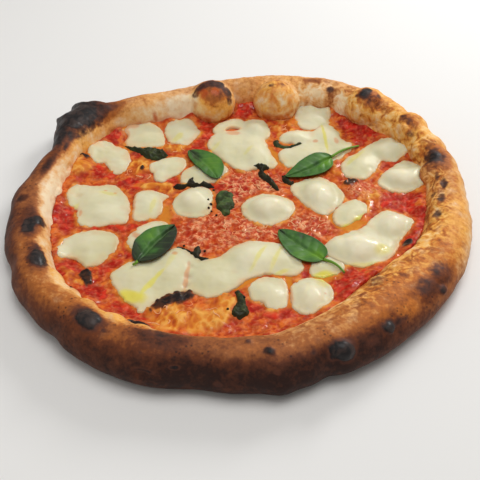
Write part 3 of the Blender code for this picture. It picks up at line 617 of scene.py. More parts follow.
def sauceMaterial():
    material, tree, shader, coords = newMaterial("tomato_sauce")
    red, melt, pulp, oil = attributeOf(tree, "sauce")
    strings, wrinkles, burn, flesh = attributeOf(tree, "relief")
    wide, middle, fine = (noise(tree, coords, size, 3) for size in (9, 3.2, 1.3))
    orange = mixColour(tree, step(tree, middle, 0.38, 0.60), (0.44, 0.030, 0.006), (0.68, 0.15, 0.022))
    deep = mixColour(tree, step(tree, middle, 0.40, 0.64), (0.36, 0.007, 0.004), (0.64, 0.034, 0.014))
    deep = mixColour(tree, calc(tree, "MULTIPLY", step(tree, fine, 0.52, 0.68), 0.5), deep, (0.66, 0.07, 0.030))
    redness = calc(tree, "ADD", calc(tree, "MULTIPLY", red, 1.1), calc(tree, "MULTIPLY",
                   calc(tree, "SUBTRACT", wide, 0.44), 2.2), True)
    colour = mixColour(tree, step(tree, redness, 0.2, 0.8), orange, deep)
    pink = mixColour(tree, step(tree, fine, 0.4, 0.6), (0.56, 0.075, 0.026), (0.86, 0.37, 0.18))
    shares = calc(tree, "ADD", calc(tree, "MULTIPLY", pulp, step(tree, middle, 0.45, 0.62)),
                  calc(tree, "MULTIPLY", strings, 0.9))
    shares = calc(tree, "MULTIPLY", shares, calc(tree, "ADD", calc(tree, "MULTIPLY", pulp, 0.6), 0.30), True)
    colour = mixColour(tree, shares, colour, pink)
    # painted shade: the hollows between the pulp lumps are darkened
    creases = calc(tree, "SUBTRACT", 1.0, step(tree, flesh, 0.05, 0.45))
    colour = mixColour(tree, calc(tree, "MULTIPLY", creases, 0.45), colour, (0.22, 0.010, 0.003))
    # melted cheese: its golden tone varies with the noise, and its wrinkle ridges are painted lighter and the hollows
    # between them darker, as painted light and painted shade
    goldenMeltWithPaintedShading = ramp(tree, calc(tree, "ADD", calc(tree, "MULTIPLY", wrinkles, 0.7), calc(tree, "MULTIPLY", middle, 0.4)),
                (0.12, (0.24, 0.022, 0.006)), (0.42, (0.50, 0.10, 0.013)), (0.68, (0.68, 0.23, 0.026)),
                (1.0, (0.86, 0.47, 0.11)))
    colour = mixColour(tree, calc(tree, "MULTIPLY", melt, step(tree, wide, 0.25, 0.5)), colour, goldenMeltWithPaintedShading)
    colour, rough = addOil(tree, colour, (0.62, 0.21, 0.012), oil, calc(tree, "ADD", 0.28, calc(tree, "MULTIPLY", fine, 0.3)))
    scorched = calc(tree, "ADD", burn, calc(tree, "MULTIPLY", calc(tree, "SUBTRACT", fine, 0.5), 1.1))
    colour = mixColour(tree, step(tree, scorched, 0.08, 0.6), colour, (0.14, 0.040, 0.015))
    black = mixColour(tree, step(tree, middle, 0.45, 0.62), (0.018, 0.012, 0.011), (0.06, 0.026, 0.016))
    colour = mixColour(tree, step(tree, scorched, 0.5, 0.95), colour, black)
    tree.links.new(colour, shader.inputs["Base Color"])
    tree.links.new(rough, shader.inputs["Roughness"])
    shader.inputs["Specular IOR Level"].default_value = 0.08
    wet = calc(tree, "ADD", step(tree, noise(tree, coords, 4, 2), 0.57, 0.63), oil, True)
    tree.links.new(calc(tree, "MULTIPLY", wet, 0.7), shader.inputs["Coat Weight"])
    shader.inputs["Coat Roughness"].default_value = 0.14
    normal = bump(tree, middle, 0.4, 0.5)
    tree.links.new(bump(tree, fine, 0.4, 0.25, normal), shader.inputs["Normal"])
    return material


# mozzarella -----
# outline: corners of the melted edge in mm, joined by a smooth curve
# lobes: x, y, half length, half width, turn, height; bumps: x, y, spread, rise; gaps: ovals with no cheese
cheeseSet = {
    "step": 0.72, "film": 1.7, "edge": 1.7, "swell": 0.5,
    "pieces": {
        "cheese_a": {"nodes": (1,), "lobes": ((-98.5, 67, 15.5, 11, -8, 3.4), (-88.5, 54, 12, 7.5, -62, 3.2)),
                     "outline": ((-114.5, 67), (-107.5, 78), (-101.5, 81), (-92.5, 78), (-86.5, 74), (-81.5, 64), (-81.5, 54),
                                 (-84.5, 44), (-91.5, 43), (-95.5, 48), (-100.5, 56), (-107.5, 56))},
        "cheese_b": {"nodes": (2,), "lobes": ((-71, 90, 15, 13, -15, 4.4),),
                     "outline": ((-87.5, 82), (-86.5, 90), (-90.5, 95), (-86.5, 100), (-82.5, 106), (-75.5, 106), (-66.5, 102),
                                 (-59, 97), (-57, 87), (-57, 78), (-66.5, 76), (-76.5, 76), (-84.5, 77))},
        "cheese_c": {"nodes": (3,), "lobes": ((-44, 95, 14.5, 12.5, 85, 5.2),),
                     "outline": ((-58, 99), (-53, 107), (-44, 110.5), (-35, 108), (-31, 101), (-29, 95), (-33, 89),
                                 (-36, 82), (-41, 78), (-47, 81), (-53, 83), (-56, 90))},
        "cheese_d": {"nodes": (4, 5, 6), "lobes": ((3, 80, 40, 27, 92, 5.4), (-8, 82, 33, 14, 84, 5.6),
                                                   (14, 101, 14, 12.5, 90, 6.8), (13, 70, 25, 14, 97, 7.0)),
                     "gaps": ((-4.5, 99, 5.2, 2.7, 15),),
                     "outline": ((-20, 101), (-14, 110), (-5, 115), (2, 115), (5, 112), (11, 114.5), (19, 113),
                                 (24, 106), (25.5, 97), (24.5, 90), (21.5, 86), (23, 76), (27, 64), (30, 56),
                                 (26, 49.5), (18, 51), (12, 48), (6, 46), (-2, 49), (-9, 56), (-18, 67), (-23.5, 78),
                                 (-22, 89), (-19, 95))},
        "cheese_e": {"nodes": (7,), "lobes": ((60, 117, 16.5, 14, 75, 6.2),),
                     "outline": ((45, 115), (47, 124.5), (54, 132.5), (62, 135), (69.5, 132.5), (74, 124.5), (73.5, 113),
                                 (71.5, 105), (64, 101), (56, 99.5), (49, 104))},
        "cheese_f": {"nodes": (8, 9, 10, 11), "lobes": ((45.5, 89, 14, 10, 5, 6.5), (70, 91, 18, 12, 102, 5.4),
                                                        (53, 66, 24, 15, 8, 5.8), (79.5, 75, 12, 9, 28, 4.4)),
                     "outline": ((32, 85), (33.5, 92), (39, 97.5), (46, 99.5), (54, 98.5), (60, 99), (64, 105),
                                 (70.5, 107), (75.5, 104), (79.5, 96), (80.5, 89), (84, 84), (88, 81), (87.5, 76),
                                 (83.5, 69), (78.5, 62), (72.5, 57.5), (64, 55), (54, 53), (44, 51), (37, 51), (33, 57),
                                 (30.5, 65), (33, 72), (39, 76.5), (44, 79), (40, 81.5), (35, 81))},
        "cheese_g": {"nodes": (12, 13), "lobes": ((113.5, 71, 15.5, 12.5, -12, 7.5), (92, 53.5, 23, 11.5, 58, 6.2)),
                     "outline": ((77, 47), (78, 56), (83.5, 64), (91.5, 70), (98, 77.5), (105.5, 82.5), (113.5, 84),
                                 (121.5, 82), (127.5, 75), (128.5, 67), (123.5, 60), (115.5, 57.5), (108.5, 59), (105.5, 52),
                                 (99.5, 43), (92.5, 36), (84.5, 37), (78.5, 41))},
        "cheese_h": {"nodes": (14,), "lobes": ((120.5, 36, 18, 14, -12, 9.5), (122.5, 46, 8, 10, 0, 6.0)),
                     "bumps": ((127.5, 32, 5, 0.8),),
                     "outline": ((119.5, 56), (127.5, 57), (134.5, 48), (139, 38), (136.5, 29), (128.5, 23), (117.5, 20.5),
                                 (107.5, 24), (102, 32), (105.5, 41), (112.5, 49))},
        "cheese_i": {"nodes": (15,), "lobes": ((-100.5, 12, 20, 17.5, -10, 6.0), (-94.5, -2, 18, 12.5, 0, 5.6)),
                     "bumps": ((-113.5, 16, 4, -1.2),),
                     "outline": ((-122.5, 16), (-121, 25), (-115.5, 30), (-104.5, 28.5), (-92.5, 30), (-86.5, 26), (-80.5, 17),
                                 (-76, 7), (-75.5, -3), (-77.5, -12.5), (-86.5, -13.5), (-96.5, -16.5), (-107.5, -15.5), (-112.5, -7),
                                 (-113.5, 1), (-119.5, 7))},
        "cheese_j": {"nodes": (16,), "lobes": ((-64, 7, 11.5, 15, 0, 4.6),),
                     "outline": ((-74.5, 15), (-71.5, 22.5), (-61, 23.5), (-50, 17), (-53, 10), (-53, 3), (-56, -6),
                                 (-65.5, -10.5), (-73.5, -7), (-74, 5))},
        "cheese_k": {"nodes": (17,), "lobes": ((-32, 10.5, 14.5, 16, 0, 8.2),), "bumps": ((-28, 14, 5, 1.0),),
                     "outline": ((-46, 12), (-40, 21), (-33, 27), (-23, 27), (-18, 19), (-18, 8), (-19, -2), (-26, -6),
                                 (-40, -5), (-46, 3))},
        "cheese_l": {"nodes": (18,), "lobes": ((-53, 52.5, 13, 10.5, 25, 4.8), (-57, 42, 7, 6, 70, 4.0)),
                     "outline": ((-66.5, 49), (-64.5, 56), (-56, 62), (-47, 64.5), (-40, 61), (-39, 53), (-43, 44),
                                 (-49, 39), (-55, 33), (-60, 35), (-62.5, 42))},
        "cheese_m": {"nodes": (19,), "lobes": ((-28, 43, 13, 11, 30, 4.4), (-15, 46, 9, 7, 20, 3.6)),
                     "outline": ((-42, 37), (-41, 45), (-35, 52), (-27, 57), (-17, 56), (-9, 52), (-7, 45), (-12, 38),
                                 (-19, 32), (-30, 30), (-40, 31))},
        "cheese_n": {"nodes": (20,), "lobes": ((21.5, 3, 18, 16, 0, 9.5),), "bumps": ((27, 5, 5, 0.9), (16, 0, 7, 0.5)),
                     "outline": ((2.5, 4), (4, -4), (9, -10.5), (17, -15), (26, -14.5), (33, -10), (39, -3), (40.5, 5),
                                 (37, 12.5), (29, 17.5), (20, 19.5), (11, 16.5), (5, 11))},
        "cheese_o": {"nodes": (21,), "lobes": ((58, 18, 20, 16, 105, 9.0),), "bumps": ((59, 16, 5, 0.8),),
                     "outline": ((38, 26), (43, 33), (52, 37), (62, 38.5), (70.5, 31), (76.5, 19), (74.5, 10), (69.5, 3),
                                 (61, -4), (53, 0), (46, 8), (41, 17))},
        "cheese_p": {"nodes": (22,), "lobes": ((79, -1, 16, 9.5, 50, 4.4),),
                     "outline": ((66.5, -11.5), (66.5, -2), (73.5, 8), (83.5, 13), (91.5, 7), (90.5, -2), (83.5, -9), (72.5, -16.5))},
        "cheese_q": {"nodes": (23, 24), "lobes": ((106.5, -15.5, 17, 13, 35, 8.0), (82.5, -38.5, 24, 17, 5, 9.5),
                                                  (67.5, -36.5, 10, 12, 0, 6.0)),
                     "bumps": ((107.5, -12.5, 6, 1.0), (76.5, -36.5, 9, 0.9), (88.5, -33.5, 4, -0.8), (95.5, -41.5, 6, 1.2),
                               (95.5, -41.5, 3, -1.3)),
                     "outline": ((92.5, -9), (98.5, -2), (108.5, 0), (120.5, -9), (119.5, -17.5), (110.5, -29.5), (106.5, -39.5),
                                 (102.5, -48.5), (92.5, -54.5), (80.5, -56.5), (68.5, -53.5), (59, -45.5), (58, -35.5), (65.5, -27.5),
                                 (76.5, -21.5), (85.5, -17.5))},
        "cheese_r": {"nodes": (25,), "lobes": ((57, -56.5, 10.5, 9, 30, 3.4),),
                     "outline": ((47, -56.5), (51, -49.5), (60, -46.5), (69.5, -52.5), (68.5, -59.5), (61, -64.5), (53, -66.5), (47, -63.5))},
        "cheese_s": {"nodes": (26,), "lobes": ((-98.5, -36.5, 19.5, 14.5, 12, 5.6), (-98.5, -48.5, 8, 8, 0, 4.6)),
                     "outline": ((-119.5, -40.5), (-117.5, -31.5), (-108.5, -22.5), (-92.5, -20.5), (-82.5, -25.5), (-80.5, -36.5), (-83.5, -46.5),
                                 (-91.5, -54.5), (-99.5, -56.5), (-104.5, -50.5), (-110.5, -48.5), (-117.5, -50.5))},
        "cheese_t": {"nodes": (27,), "lobes": ((-60, -26.5, 17, 13, 50, 4.2),),
                     "outline": ((-74.5, -28.5), (-69.5, -18.5), (-60, -11.5), (-51, -10.5), (-47, -16.5), (-48, -28.5), (-56, -38.5),
                                 (-66.5, -41.5), (-73.5, -36.5))},
        "cheese_u": {"nodes": (28, 29, 30, 31), "lobes": ((-65.5, -65.5, 19, 18, 0, 5.4), (-60, -82.5, 15, 10, -62, 4.8),
                                                          (-42, -59.5, 16, 23, 0, 5.2), (-17, -64.5, 18, 21, 0, 5.8),
                                                          (15, -48.5, 28, 18, 6, 7.0)),
                     "bumps": ((-32, -66.5, 3, -1.2), (-33, -74.5, 3, -1.2), (-31, -56.5, 3, -0.8), (10, -44.5, 8, 0.6)),
                     "outline": ((-82.5, -65.5), (-78.5, -58.5), (-70.5, -51.5), (-62.5, -48.5), (-54, -46.5), (-46, -40.5), (-40, -37),
                                 (-34, -39.5), (-28, -46.5), (-20, -49.5), (-12, -46.5), (-2, -35.5), (10, -31), (20, -32.5),
                                 (29, -34.5), (38, -41.5), (43, -53.5), (40, -63), (30, -64.5), (17, -63.5), (6, -68),
                                 (0, -74.5), (-8, -80.5), (-18, -84.5), (-26, -81.5), (-32, -78.5), (-40, -80.5), (-47, -84.5),
                                 (-54, -92.5), (-60, -97.5), (-63.5, -92.5), (-70.5, -86.5), (-77.5, -76.5))},
        "cheese_v": {"nodes": (32,), "lobes": ((20, -80.5, 12.5, 13.5, 0, 5.6),),
                     "outline": ((7, -75.5), (12, -67.5), (20, -65.5), (28, -66.5), (31.5, -72.5), (32, -84.5), (29, -93.5),
                                 (20, -94.5), (15, -88.5), (8, -85.5))},
        "cheese_w": {"nodes": (33,), "lobes": ((46, -83.5, 16, 13, 90, 7.8),), "bumps": ((52, -86.5, 5, 0.8),),
                     "outline": ((33, -84.5), (35, -72.5), (44, -66.5), (54, -68.5), (60, -75.5), (60, -85.5), (54, -93.5),
                                 (43, -99.5), (35, -94.5))},
    },
    # oil on the cheese: x, y, half length, half width, turn, strength
    "oil": ((-66, -84, 11, 5, -25, 1), (-55, -72, 15, 2.2, 60, 0.8), (57, -66, 9, 5, 0, 1), (85, -8, 8, 3, 45, 0.8),
            (76, -17, 8, 4, 20, 1), (67.5, 87, 20, 1.5, 93, 0.8), (14, -49, 14, 1.8, 66, 0.55), (25, -50, 13, 1.8, 70, 0.5),
            (-17, 76, 7, 2, 60, 0.35), (8, 69, 6, 2, 60, 0.35), (88, 61, 13, 2.4, 52, 0.45), (-47, 88, 6, 3, 50, 0.45),
            (-60, 6, 10, 2, 80, 0.4), (-93, 18, 7, 2.4, -10, 0.4), (-115, 3, 6, 2, 60, 0.4), (28, -62, 6, 2, 30, 0.5),
            (96, -43, 6, 5, 50, 0.5), (55, -72, 5, 4, 0, 0.3), (-44, -52, 9, 2, 70, 0.3), (83, -55, 12, 2.5, 0, 0.4)),
    # browner, pinker places on it
    "stain": ((-89, 90, 4, 12, 0), (-84, 100, 7, 4, 20), (-33, -68, 1.6, 14, -5), (-42, -44, 2, 2, 0), (-4, 92, 7, 3, 0),
              (60, 84, 2, 2, 0), (76, 83, 2, 3, 0), (-88, 19, 1.2, 1.0, 0), (-95, 21, 1.2, 0.8, 0), (-110, -3, 1, 3, 0),
              (-74, 4, 1.6, 18, 0), (33, -82, 1.8, 14, 0), (-68, -27, 2.5, 6, 45), (55, -82, 1.0, 1.0, 0)),
}


def curveThrough(corners, seed, swell=0.0):  # dense closed line through the corners, a little ragged
    corners = np.array(corners, float)
    count = len(corners)
    place = np.arange(0, count, 1 / 10)
    index = place.astype(int)
    share = (place - index)[:, None]
    before, left, right, after = (corners[(index + k) % count] for k in (-1, 0, 1, 2))
    squared, cubed = share ** 2, share ** 3
    line = (left * (2 * cubed - 3 * squared + 1) + (right - before) / 2 * (cubed - 2 * squared + share)
            + right * (3 * squared - 2 * cubed) + (after - left) / 2 * (cubed - squared))
    flat = np.concatenate([line, np.zeros((len(line), 1))], 1)
    along = np.roll(line, -1, 0) - np.roll(line, 1, 0)
    outward = np.stack([along[:, 1], -along[:, 0]], 1) / np.linalg.norm(along, axis=1)[:, None]
    turned = np.sign((np.roll(line, -1, 0)[:, 0] * line[:, 1] - line[:, 0] * np.roll(line, -1, 0)[:, 1]).sum())
    line = line - outward * turned * swell
    line = line + 0.8 * np.stack([lumps(flat, 6, seed), lumps(flat, 6, seed + 1)], 1)
    return line + 0.75 * np.stack([lumps(flat, 2.7, seed + 2), lumps(flat, 2.7, seed + 3)], 1)


def toLine(x, y, line):  # signed distance to a closed line, negative inside, and the nearest place on it
    here = np.stack([x, y], 1)
    best = np.full(len(here), 1e9)
    nearest = np.zeros_like(here)
    inside = np.zeros(len(here), bool)
    for start, end in zip(line, np.roll(line, -1, 0)):
        along = end - start
        share = np.clip(((here - start) @ along) / max(along @ along, 1e-9), 0, 1)
        place = start + share[:, None] * along
        away = ((here - place) ** 2).sum(1)
        closer = away < best
        best = np.where(closer, away, best)
        nearest[closer] = place[closer]
        crosses = (start[1] > y) != (end[1] > y)
        if along[1]:
            inside ^= crosses & (x < start[0] + (y - start[1]) / along[1] * along[0])
    return np.where(inside, -1, 1) * np.sqrt(best), nearest


def makeCheese(name, piece, seed, material):
    s = cheeseSet
    line = curveThrough(piece["outline"], seed, s["swell"])
    lines = [line]
    for gx, gy, length, width, turn in piece.get("gaps", ()):
        spin = math.radians(turn)
        ring = np.radians(np.arange(0, 360, 12))
        oval = np.stack([gx + length * np.cos(ring) * math.cos(spin) - width * np.sin(ring) * math.sin(spin),
                         gy + length * np.cos(ring) * math.sin(spin) + width * np.sin(ring) * math.cos(spin)], 1)
        lines.append(oval)
    (x0, y0), (x1, y1) = line.min(0) - 1, line.max(0) + 1
    grid = newGrid(name, x0, x1, y0, y1, s["step"])
    points = coordsOf(grid)

    def edgeAt(x, y):
        edge, nearest = toLine(x, y, lines[0])
        for gap in lines[1:]:
            gapEdge, gapNearest = toLine(x, y, gap)
            nearest = np.where((-gapEdge > edge)[:, None], gapNearest, nearest)
            edge = np.maximum(edge, -gapEdge)
        return edge, nearest

    edge, _ = edgeAt(points[:, 0], points[:, 1])
    keepVertices(grid, edge < s["step"] * 0.7)
    points = coordsOf(grid)
    # the outermost points go onto the edge, and the next rows crowd towards it, so that it rolls over round
    edge, nearest = edgeAt(points[:, 0], points[:, 1])
    inside = np.clip(-edge, 0, s["edge"])
    rolled = s["edge"] * (1 - np.cos(math.pi / 2 * inside / s["edge"]))
    toEdge = nearest - points[:, :2]
    length = np.maximum(np.linalg.norm(toEdge, axis=1), 1e-6)
    outermost = edge > -s["step"] * 0.35
    move = np.where(outermost, 1.0, (inside - rolled) / length * (inside < s["edge"]))
    points[:, :2] += toEdge * move[:, None]
    inside = np.where(outermost, 0, inside)
    lift = np.sin(math.pi / 2 * inside / s["edge"])
    x, y = points[:, 0], points[:, 1]
    flat = np.stack([x, y, np.zeros(len(points))], 1)
    height = np.full(len(points), s["film"])
    for lobe in piece["lobes"]:
        share = spotShare(x, y, lobe[:5]) * (1 + 0.10 * lumps(flat, 14, seed + 2))
        dome = lobe[5] * (0.60 + 0.028 * lobe[5]) * np.clip(1 - (share * 0.98) ** 2, 0, 1) ** 1.4
        height = smoothMax(height, dome, 2.4)
    for bx, by, spread, rise in piece.get("bumps", ()):
        height = height + rise * bell(np.hypot(x - bx, y - by), spread)
    height = height + 0.35 * lumps(flat, 9, seed + 3) + 0.16 * lumps(flat, 4, seed + 4)
    ground = sauceBase(x, y) - 0.7
    points[:, 2] = ground + (0.3 + height) * lift
    setCoords(grid, points)
    oil = np.zeros(len(points))
    for spot in s["oil"]:
        away = spotShare(x, y, spot[:5]) + 0.25 * lumps(flat, 5, 71)
        oil = np.maximum(oil, spot[5] * smoothStep(1.3, 0.5, away))
    stain = patches(x, y, flat, s["stain"], 73)
    thin = np.exp(-np.clip(-edge, 0, None) / 1.5) * (1.1 + 0.7 * lumps(flat, 7, 75))
    thin = thin + 0.25 * smoothStep(2.6, 1.8, height) * smoothStep(-0.2, 0.4, lumps(flat, 9, 76))
    # the third channel marks the tall domes, which the material paints whiter as painted light on their tops and also
    # makes glossier
    paint(grid, "milk", oil, thin, smoothStep(2.5, 8, height), stain)
    closeUnder(grid, 4.5)
    bpy.ops.object.shade_smooth()
    finishPiece(grid, material, "mozzarella", *[f"mozzarella_{n:02d}" for n in piece["nodes"]])
    return grid


def makeCheeses(material):
    made = [makeCheese(name, piece, 40 + 5 * seed, material)
            for seed, (name, piece) in enumerate(cheeseSet["pieces"].items())]
    print("mozzarella:", sum(len(grid.data.polygons) for grid in made), "faces")
    return made


def cheeseMaterial():
    material, tree, shader, coords = newMaterial("melted_mozzarella")
    oil, thin, dome, stain = attributeOf(tree, "milk")
    wide, middle, fine = (noise(tree, coords, size, 2) for size in (16, 5, 1.5))
    colour = mixColour(tree, step(tree, wide, 0.3, 0.7), (0.62, 0.58, 0.36), (0.70, 0.66, 0.46))
    # painted light: the tall domes are painted whiter, as if lit from above
    colour = mixColour(tree, calc(tree, "MULTIPLY", dome, 0.8), colour, (0.83, 0.775, 0.57))
    thinner = calc(tree, "MULTIPLY", thin, calc(tree, "ADD", 0.35, calc(tree, "MULTIPLY", middle, 0.9)), True)
    colour = mixColour(tree, calc(tree, "MULTIPLY", thinner, 0.85), colour, (0.70, 0.34, 0.13))
    colour = mixColour(tree, calc(tree, "MULTIPLY", stain, 0.7), colour, (0.66, 0.30, 0.14))
    colour, rough = addOil(tree, colour, (0.74, 0.66, 0.075), oil, calc(tree, "ADD", 0.26,
                           calc(tree, "MULTIPLY", middle, 0.3)))
    tree.links.new(colour, shader.inputs["Base Color"])
    tree.links.new(rough, shader.inputs["Roughness"])
    shader.inputs["Subsurface Weight"].default_value = 0.75
    shader.inputs["Subsurface Radius"].default_value = (0.0045, 0.0036, 0.0022)
    shader.inputs["Subsurface Scale"].default_value = 1.0
    shader.inputs["Specular IOR Level"].default_value = 0.18
    tree.links.new(calc(tree, "ADD", 0.06, calc(tree, "MULTIPLY", calc(tree, "ADD", oil, dome, True), 0.2)),
                   shader.inputs["Coat Weight"])
    shader.inputs["Coat Roughness"].default_value = 0.08
    normal = bump(tree, middle, 0.35, 0.5)
    tree.links.new(bump(tree, fine, 0.25, 0.12, normal), shader.inputs["Normal"])
    return material


# fresh basil -----
leafSet = {
    "rows": 72, "columns": 44, "thickness": 0.5, "veins": 6,
    # base, tip, width, how far the midrib bends aside, cup, fold along it, share of the width on the left side,
    # shape (below 1 the widest place is nearer the base) and bluntness, end of the stem,
    # green tone, and lighter and darker places: share along, share across, spread, strength. The tone and its places
    # are partly the leaf's own colour and partly painted highlight and painted shade on its folds and edges
    "leaves": {
        "basil_a": {"base": (-37, 71), "tip": (-15, 35), "width": 20, "bend": 1.5, "cup": 1.2, "fold": 0.5,
                    "left": 0.62, "shape": 1.0, "blunt": 0.5, "node": "basil_leaf_1", "light": 0.26,
                    "spots": ((0.6, 0.4, 0.5, 0.4), (0.12, 0.0, 0.2, -0.8), (0.3, -0.3, 0.2, -0.3))},
        "basil_b": {"base": (70, 60), "tip": (34.5, 37), "width": 20.5, "bend": 1.6, "cup": 1.4, "fold": 1.2,
                    "left": 0.5, "shape": 0.68, "blunt": 0.72, "stem": (93, 77.5), "node": "basil_leaf_2", "light": 0.35,
                    "spots": ((0.14, 0.2, 0.32, 0.6), (0.98, 0.3, 0.14, -0.8), (0.30, -0.1, 0.12, -0.4))},
        "basil_c": {"base": (-65.5, -54), "tip": (-43, -18), "width": 24, "bend": 1.0, "cup": 1.8, "fold": 1.6,
                    "left": 0.5, "shape": 0.82, "blunt": 0.66, "stem": (-68, -57), "node": "basil_leaf_3", "light": 0.2,
                    "spots": ((0.55, 0.5, 0.34, 0.5), (0.35, -0.45, 0.16, 0.5), (0.5, -1.0, 0.35, -0.9), (0.85, -0.4, 0.3, -0.9),
                              (0.1, 0.9, 0.3, -0.9), (0.05, -0.6, 0.25, -0.8), (0.5, -0.15, 0.14, -0.6))},
        "basil_d": {"base": (56.5, -51.5), "tip": (28, -21), "width": 23.5, "bend": 1.0, "cup": 1.4, "fold": 0.9,
                    "left": 0.5, "shape": 0.74, "blunt": 0.66, "stem": (69, -62.5), "node": "basil_leaf_4", "light": 0.32,
                    "spots": ((0.10, 0.0, 0.32, 0.7), (0.30, 0.9, 0.2, 0.3), (1.0, 0.0, 0.2, -0.6), (0.6, -0.7, 0.2, -0.2))},
    },
}


def makeBasil(name, leaf, seed, trees, material):
    s = leafSet
    bpy.ops.object.select_all(action="DESELECT")
    bpy.ops.mesh.primitive_grid_add(x_subdivisions=s["rows"], y_subdivisions=s["columns"], size=2)
    grid = bpy.context.object
    grid.name = name
    raw = (coordsOf(grid) + planShift) * mm
    along, side = (raw[:, 0] + 1) / 2, raw[:, 1]
    base, tip = np.array(leaf["base"], float), np.array(leaf["tip"], float)
    axis = tip - base
    span = np.linalg.norm(axis)
    axis /= span
    left = np.array((-axis[1], axis[0]))
    blade = np.sin(math.pi * np.clip(along, 0, 1) ** leaf["shape"]) ** leaf["blunt"]
    half = leaf["width"] / 2 * blade * (1 + 0.04 * lumps(np.stack([along * span, side * 3, 0 * side], 1), 7, seed))
    half = np.where(side > 0, half * 2 * leaf["left"], half * 2 * (1 - leaf["left"]))
    middle = base + np.outer(along * span, axis) + np.outer(leaf["bend"] * np.sin(math.pi * along), left)
    flatPlace = middle + left * (side * half)[:, None]
    # what the leaf lies on, evened out over its own stiffness
    rows, columns = 15, 9
    table = np.zeros((rows, columns))
    for i in range(rows):
        for j in range(columns):
            u, v = i / (rows - 1), j / (columns - 1) * 2 - 1
            place = base + axis * u * span + left * v * leaf["width"] / 2 * 0.9
            table[i, j] = groundUnder(trees, *place)
    padded = np.pad(table, 2, mode="edge")
    soft = sum(padded[2 + i:2 + i + rows, 2 + j:2 + j + columns] for i in (-2, -1, 0, 1, 2) for j in (-2, -1, 0, 1, 2)) / 25
    soft = soft + np.clip(table - soft, 0, None).max() * 0.5
    u, v = along * (rows - 1), (np.clip(side, -1, 1) + 1) / 2 * (columns - 1)
    i, j = np.clip(u.astype(int), 0, rows - 2), np.clip(v.astype(int), 0, columns - 2)
    fu, fv = u - i, v - j
    ground = (soft[i, j] * (1 - fu) * (1 - fv) + soft[i + 1, j] * fu * (1 - fv) + soft[i, j + 1] * (1 - fu) * fv
              + soft[i + 1, j + 1] * fu * fv)
    # side veins run forward from the midrib; the blade bulges up between them
    phase = along * s["veins"] - np.abs(side) * 0.9
    gap = np.abs((phase + 100) % 1 - 0.5) * 2  # 1 on a vein
    vein = np.maximum(smoothStep(0.80, 1.0, gap) * smoothStep(1.0, 0.5, np.abs(side)) * smoothStep(0.02, 0.1, along),
                      smoothStep(0.10, 0.02, np.abs(side)))
    quilt = (1 - gap ** 2) * smoothStep(0.02, 0.3, np.abs(side)) * smoothStep(1.0, 0.6, np.abs(side)) * blade
    z = ground + 0.9 + leaf["cup"] * (np.abs(side) ** 2.2) * blade * 0.5 - leaf["fold"] * smoothStep(0.22, 0.0, np.abs(side))
    z += leaf["fold"] * 0.8 + 0.42 * quilt + 0.5 * lumps(np.stack([flatPlace[:, 0], flatPlace[:, 1], 0 * side], 1), 8, seed)
    points = np.concatenate([flatPlace, z[:, None]], 1)
    setCoords(grid, points)
    # tone of the green: partly the leaf's own, partly painted highlight and painted shade from the spots; below zero it
    # is kept apart as the darkest places
    light = np.full(len(points), leaf["light"]) + 0.12 * lumps(points, 6, seed + 3) + 0.08 * lumps(points, 2.5, seed + 4)
    for alongAt, sideAt, spread, strength in leaf["spots"]:
        away = np.hypot(along - alongAt, (side - sideAt) * 0.4)
        light = light + strength * bell(away * (1 + 0.3 * lumps(points, 5, seed + 5)), spread)
    paint(grid, "leaf", vein, quilt, light, np.clip(-light, 0, 1))
    bpy.ops.object.mode_set(mode="EDIT")
    bpy.ops.mesh.select_all(action="SELECT")
    bpy.ops.mesh.remove_doubles(threshold=0.00004)
    bpy.ops.mesh.normals_make_consistent(inside=False)
    bpy.ops.object.mode_set(mode="OBJECT")
    if sum(face.normal.z * face.area for face in grid.data.polygons) < 0:
        bpy.ops.object.mode_set(mode="EDIT")
        bpy.ops.mesh.select_all(action="SELECT")
        bpy.ops.mesh.flip_normals()
        bpy.ops.object.mode_set(mode="OBJECT")
    wall = grid.modifiers.new("wall", "SOLIDIFY")
    wall.thickness = s["thickness"] * mm
    wall.offset = -1
    bpy.ops.object.modifier_apply(modifier="wall")
    if "stem" in leaf:
        addStem(grid, base, np.array(leaf["stem"], float), z[along < 0.03].mean(), trees)
    bpy.ops.object.shade_smooth()
    finishPiece(grid, material, "fresh_basil", leaf["node"])
    return grid


def addStem(leafObj, start, end, z, trees):  # a thin stalk, joined to its leaf
    bpy.ops.object.select_all(action="DESELECT")
    bpy.ops.mesh.primitive_cylinder_add(vertices=10, radius=1, depth=2, end_fill_type="TRIFAN")
    stem = bpy.context.object
    bpy.ops.object.mode_set(mode="EDIT")
    bpy.ops.mesh.select_all(action="SELECT")
    bpy.ops.mesh.subdivide(number_cuts=11)
    bpy.ops.object.mode_set(mode="OBJECT")
    raw = (coordsOf(stem) + planShift) * mm
    along = (raw[:, 2] + 1) / 2
    ring = np.hypot(raw[:, 0], raw[:, 1])
    axis = (end - start) / np.linalg.norm(end - start)
    left = np.array((-axis[1], axis[0]))
    radius = (1.05 - 0.35 * along) / np.where(ring > 0.9, ring, 1)
    spots = start + np.outer(along, end - start) + np.outer(1.2 * np.sin(math.pi * along), left)
    endHeight = groundUnder(trees, *end) + 1.5
    centre = z - 0.4 + (endHeight - z) * along + 1.0 * np.sin(math.pi * along)
    points = np.concatenate([spots + left * (raw[:, 0] * radius)[:, None], (centre + raw[:, 1] * radius)[:, None]], 1)
    setCoords(stem, points)
    nothing = np.zeros(len(points))
    paint(stem, "leaf", nothing + 0.8, nothing, nothing + 1, nothing)
    leafObj.select_set(True)
    bpy.context.view_layer.objects.active = leafObj
    bpy.ops.object.join()


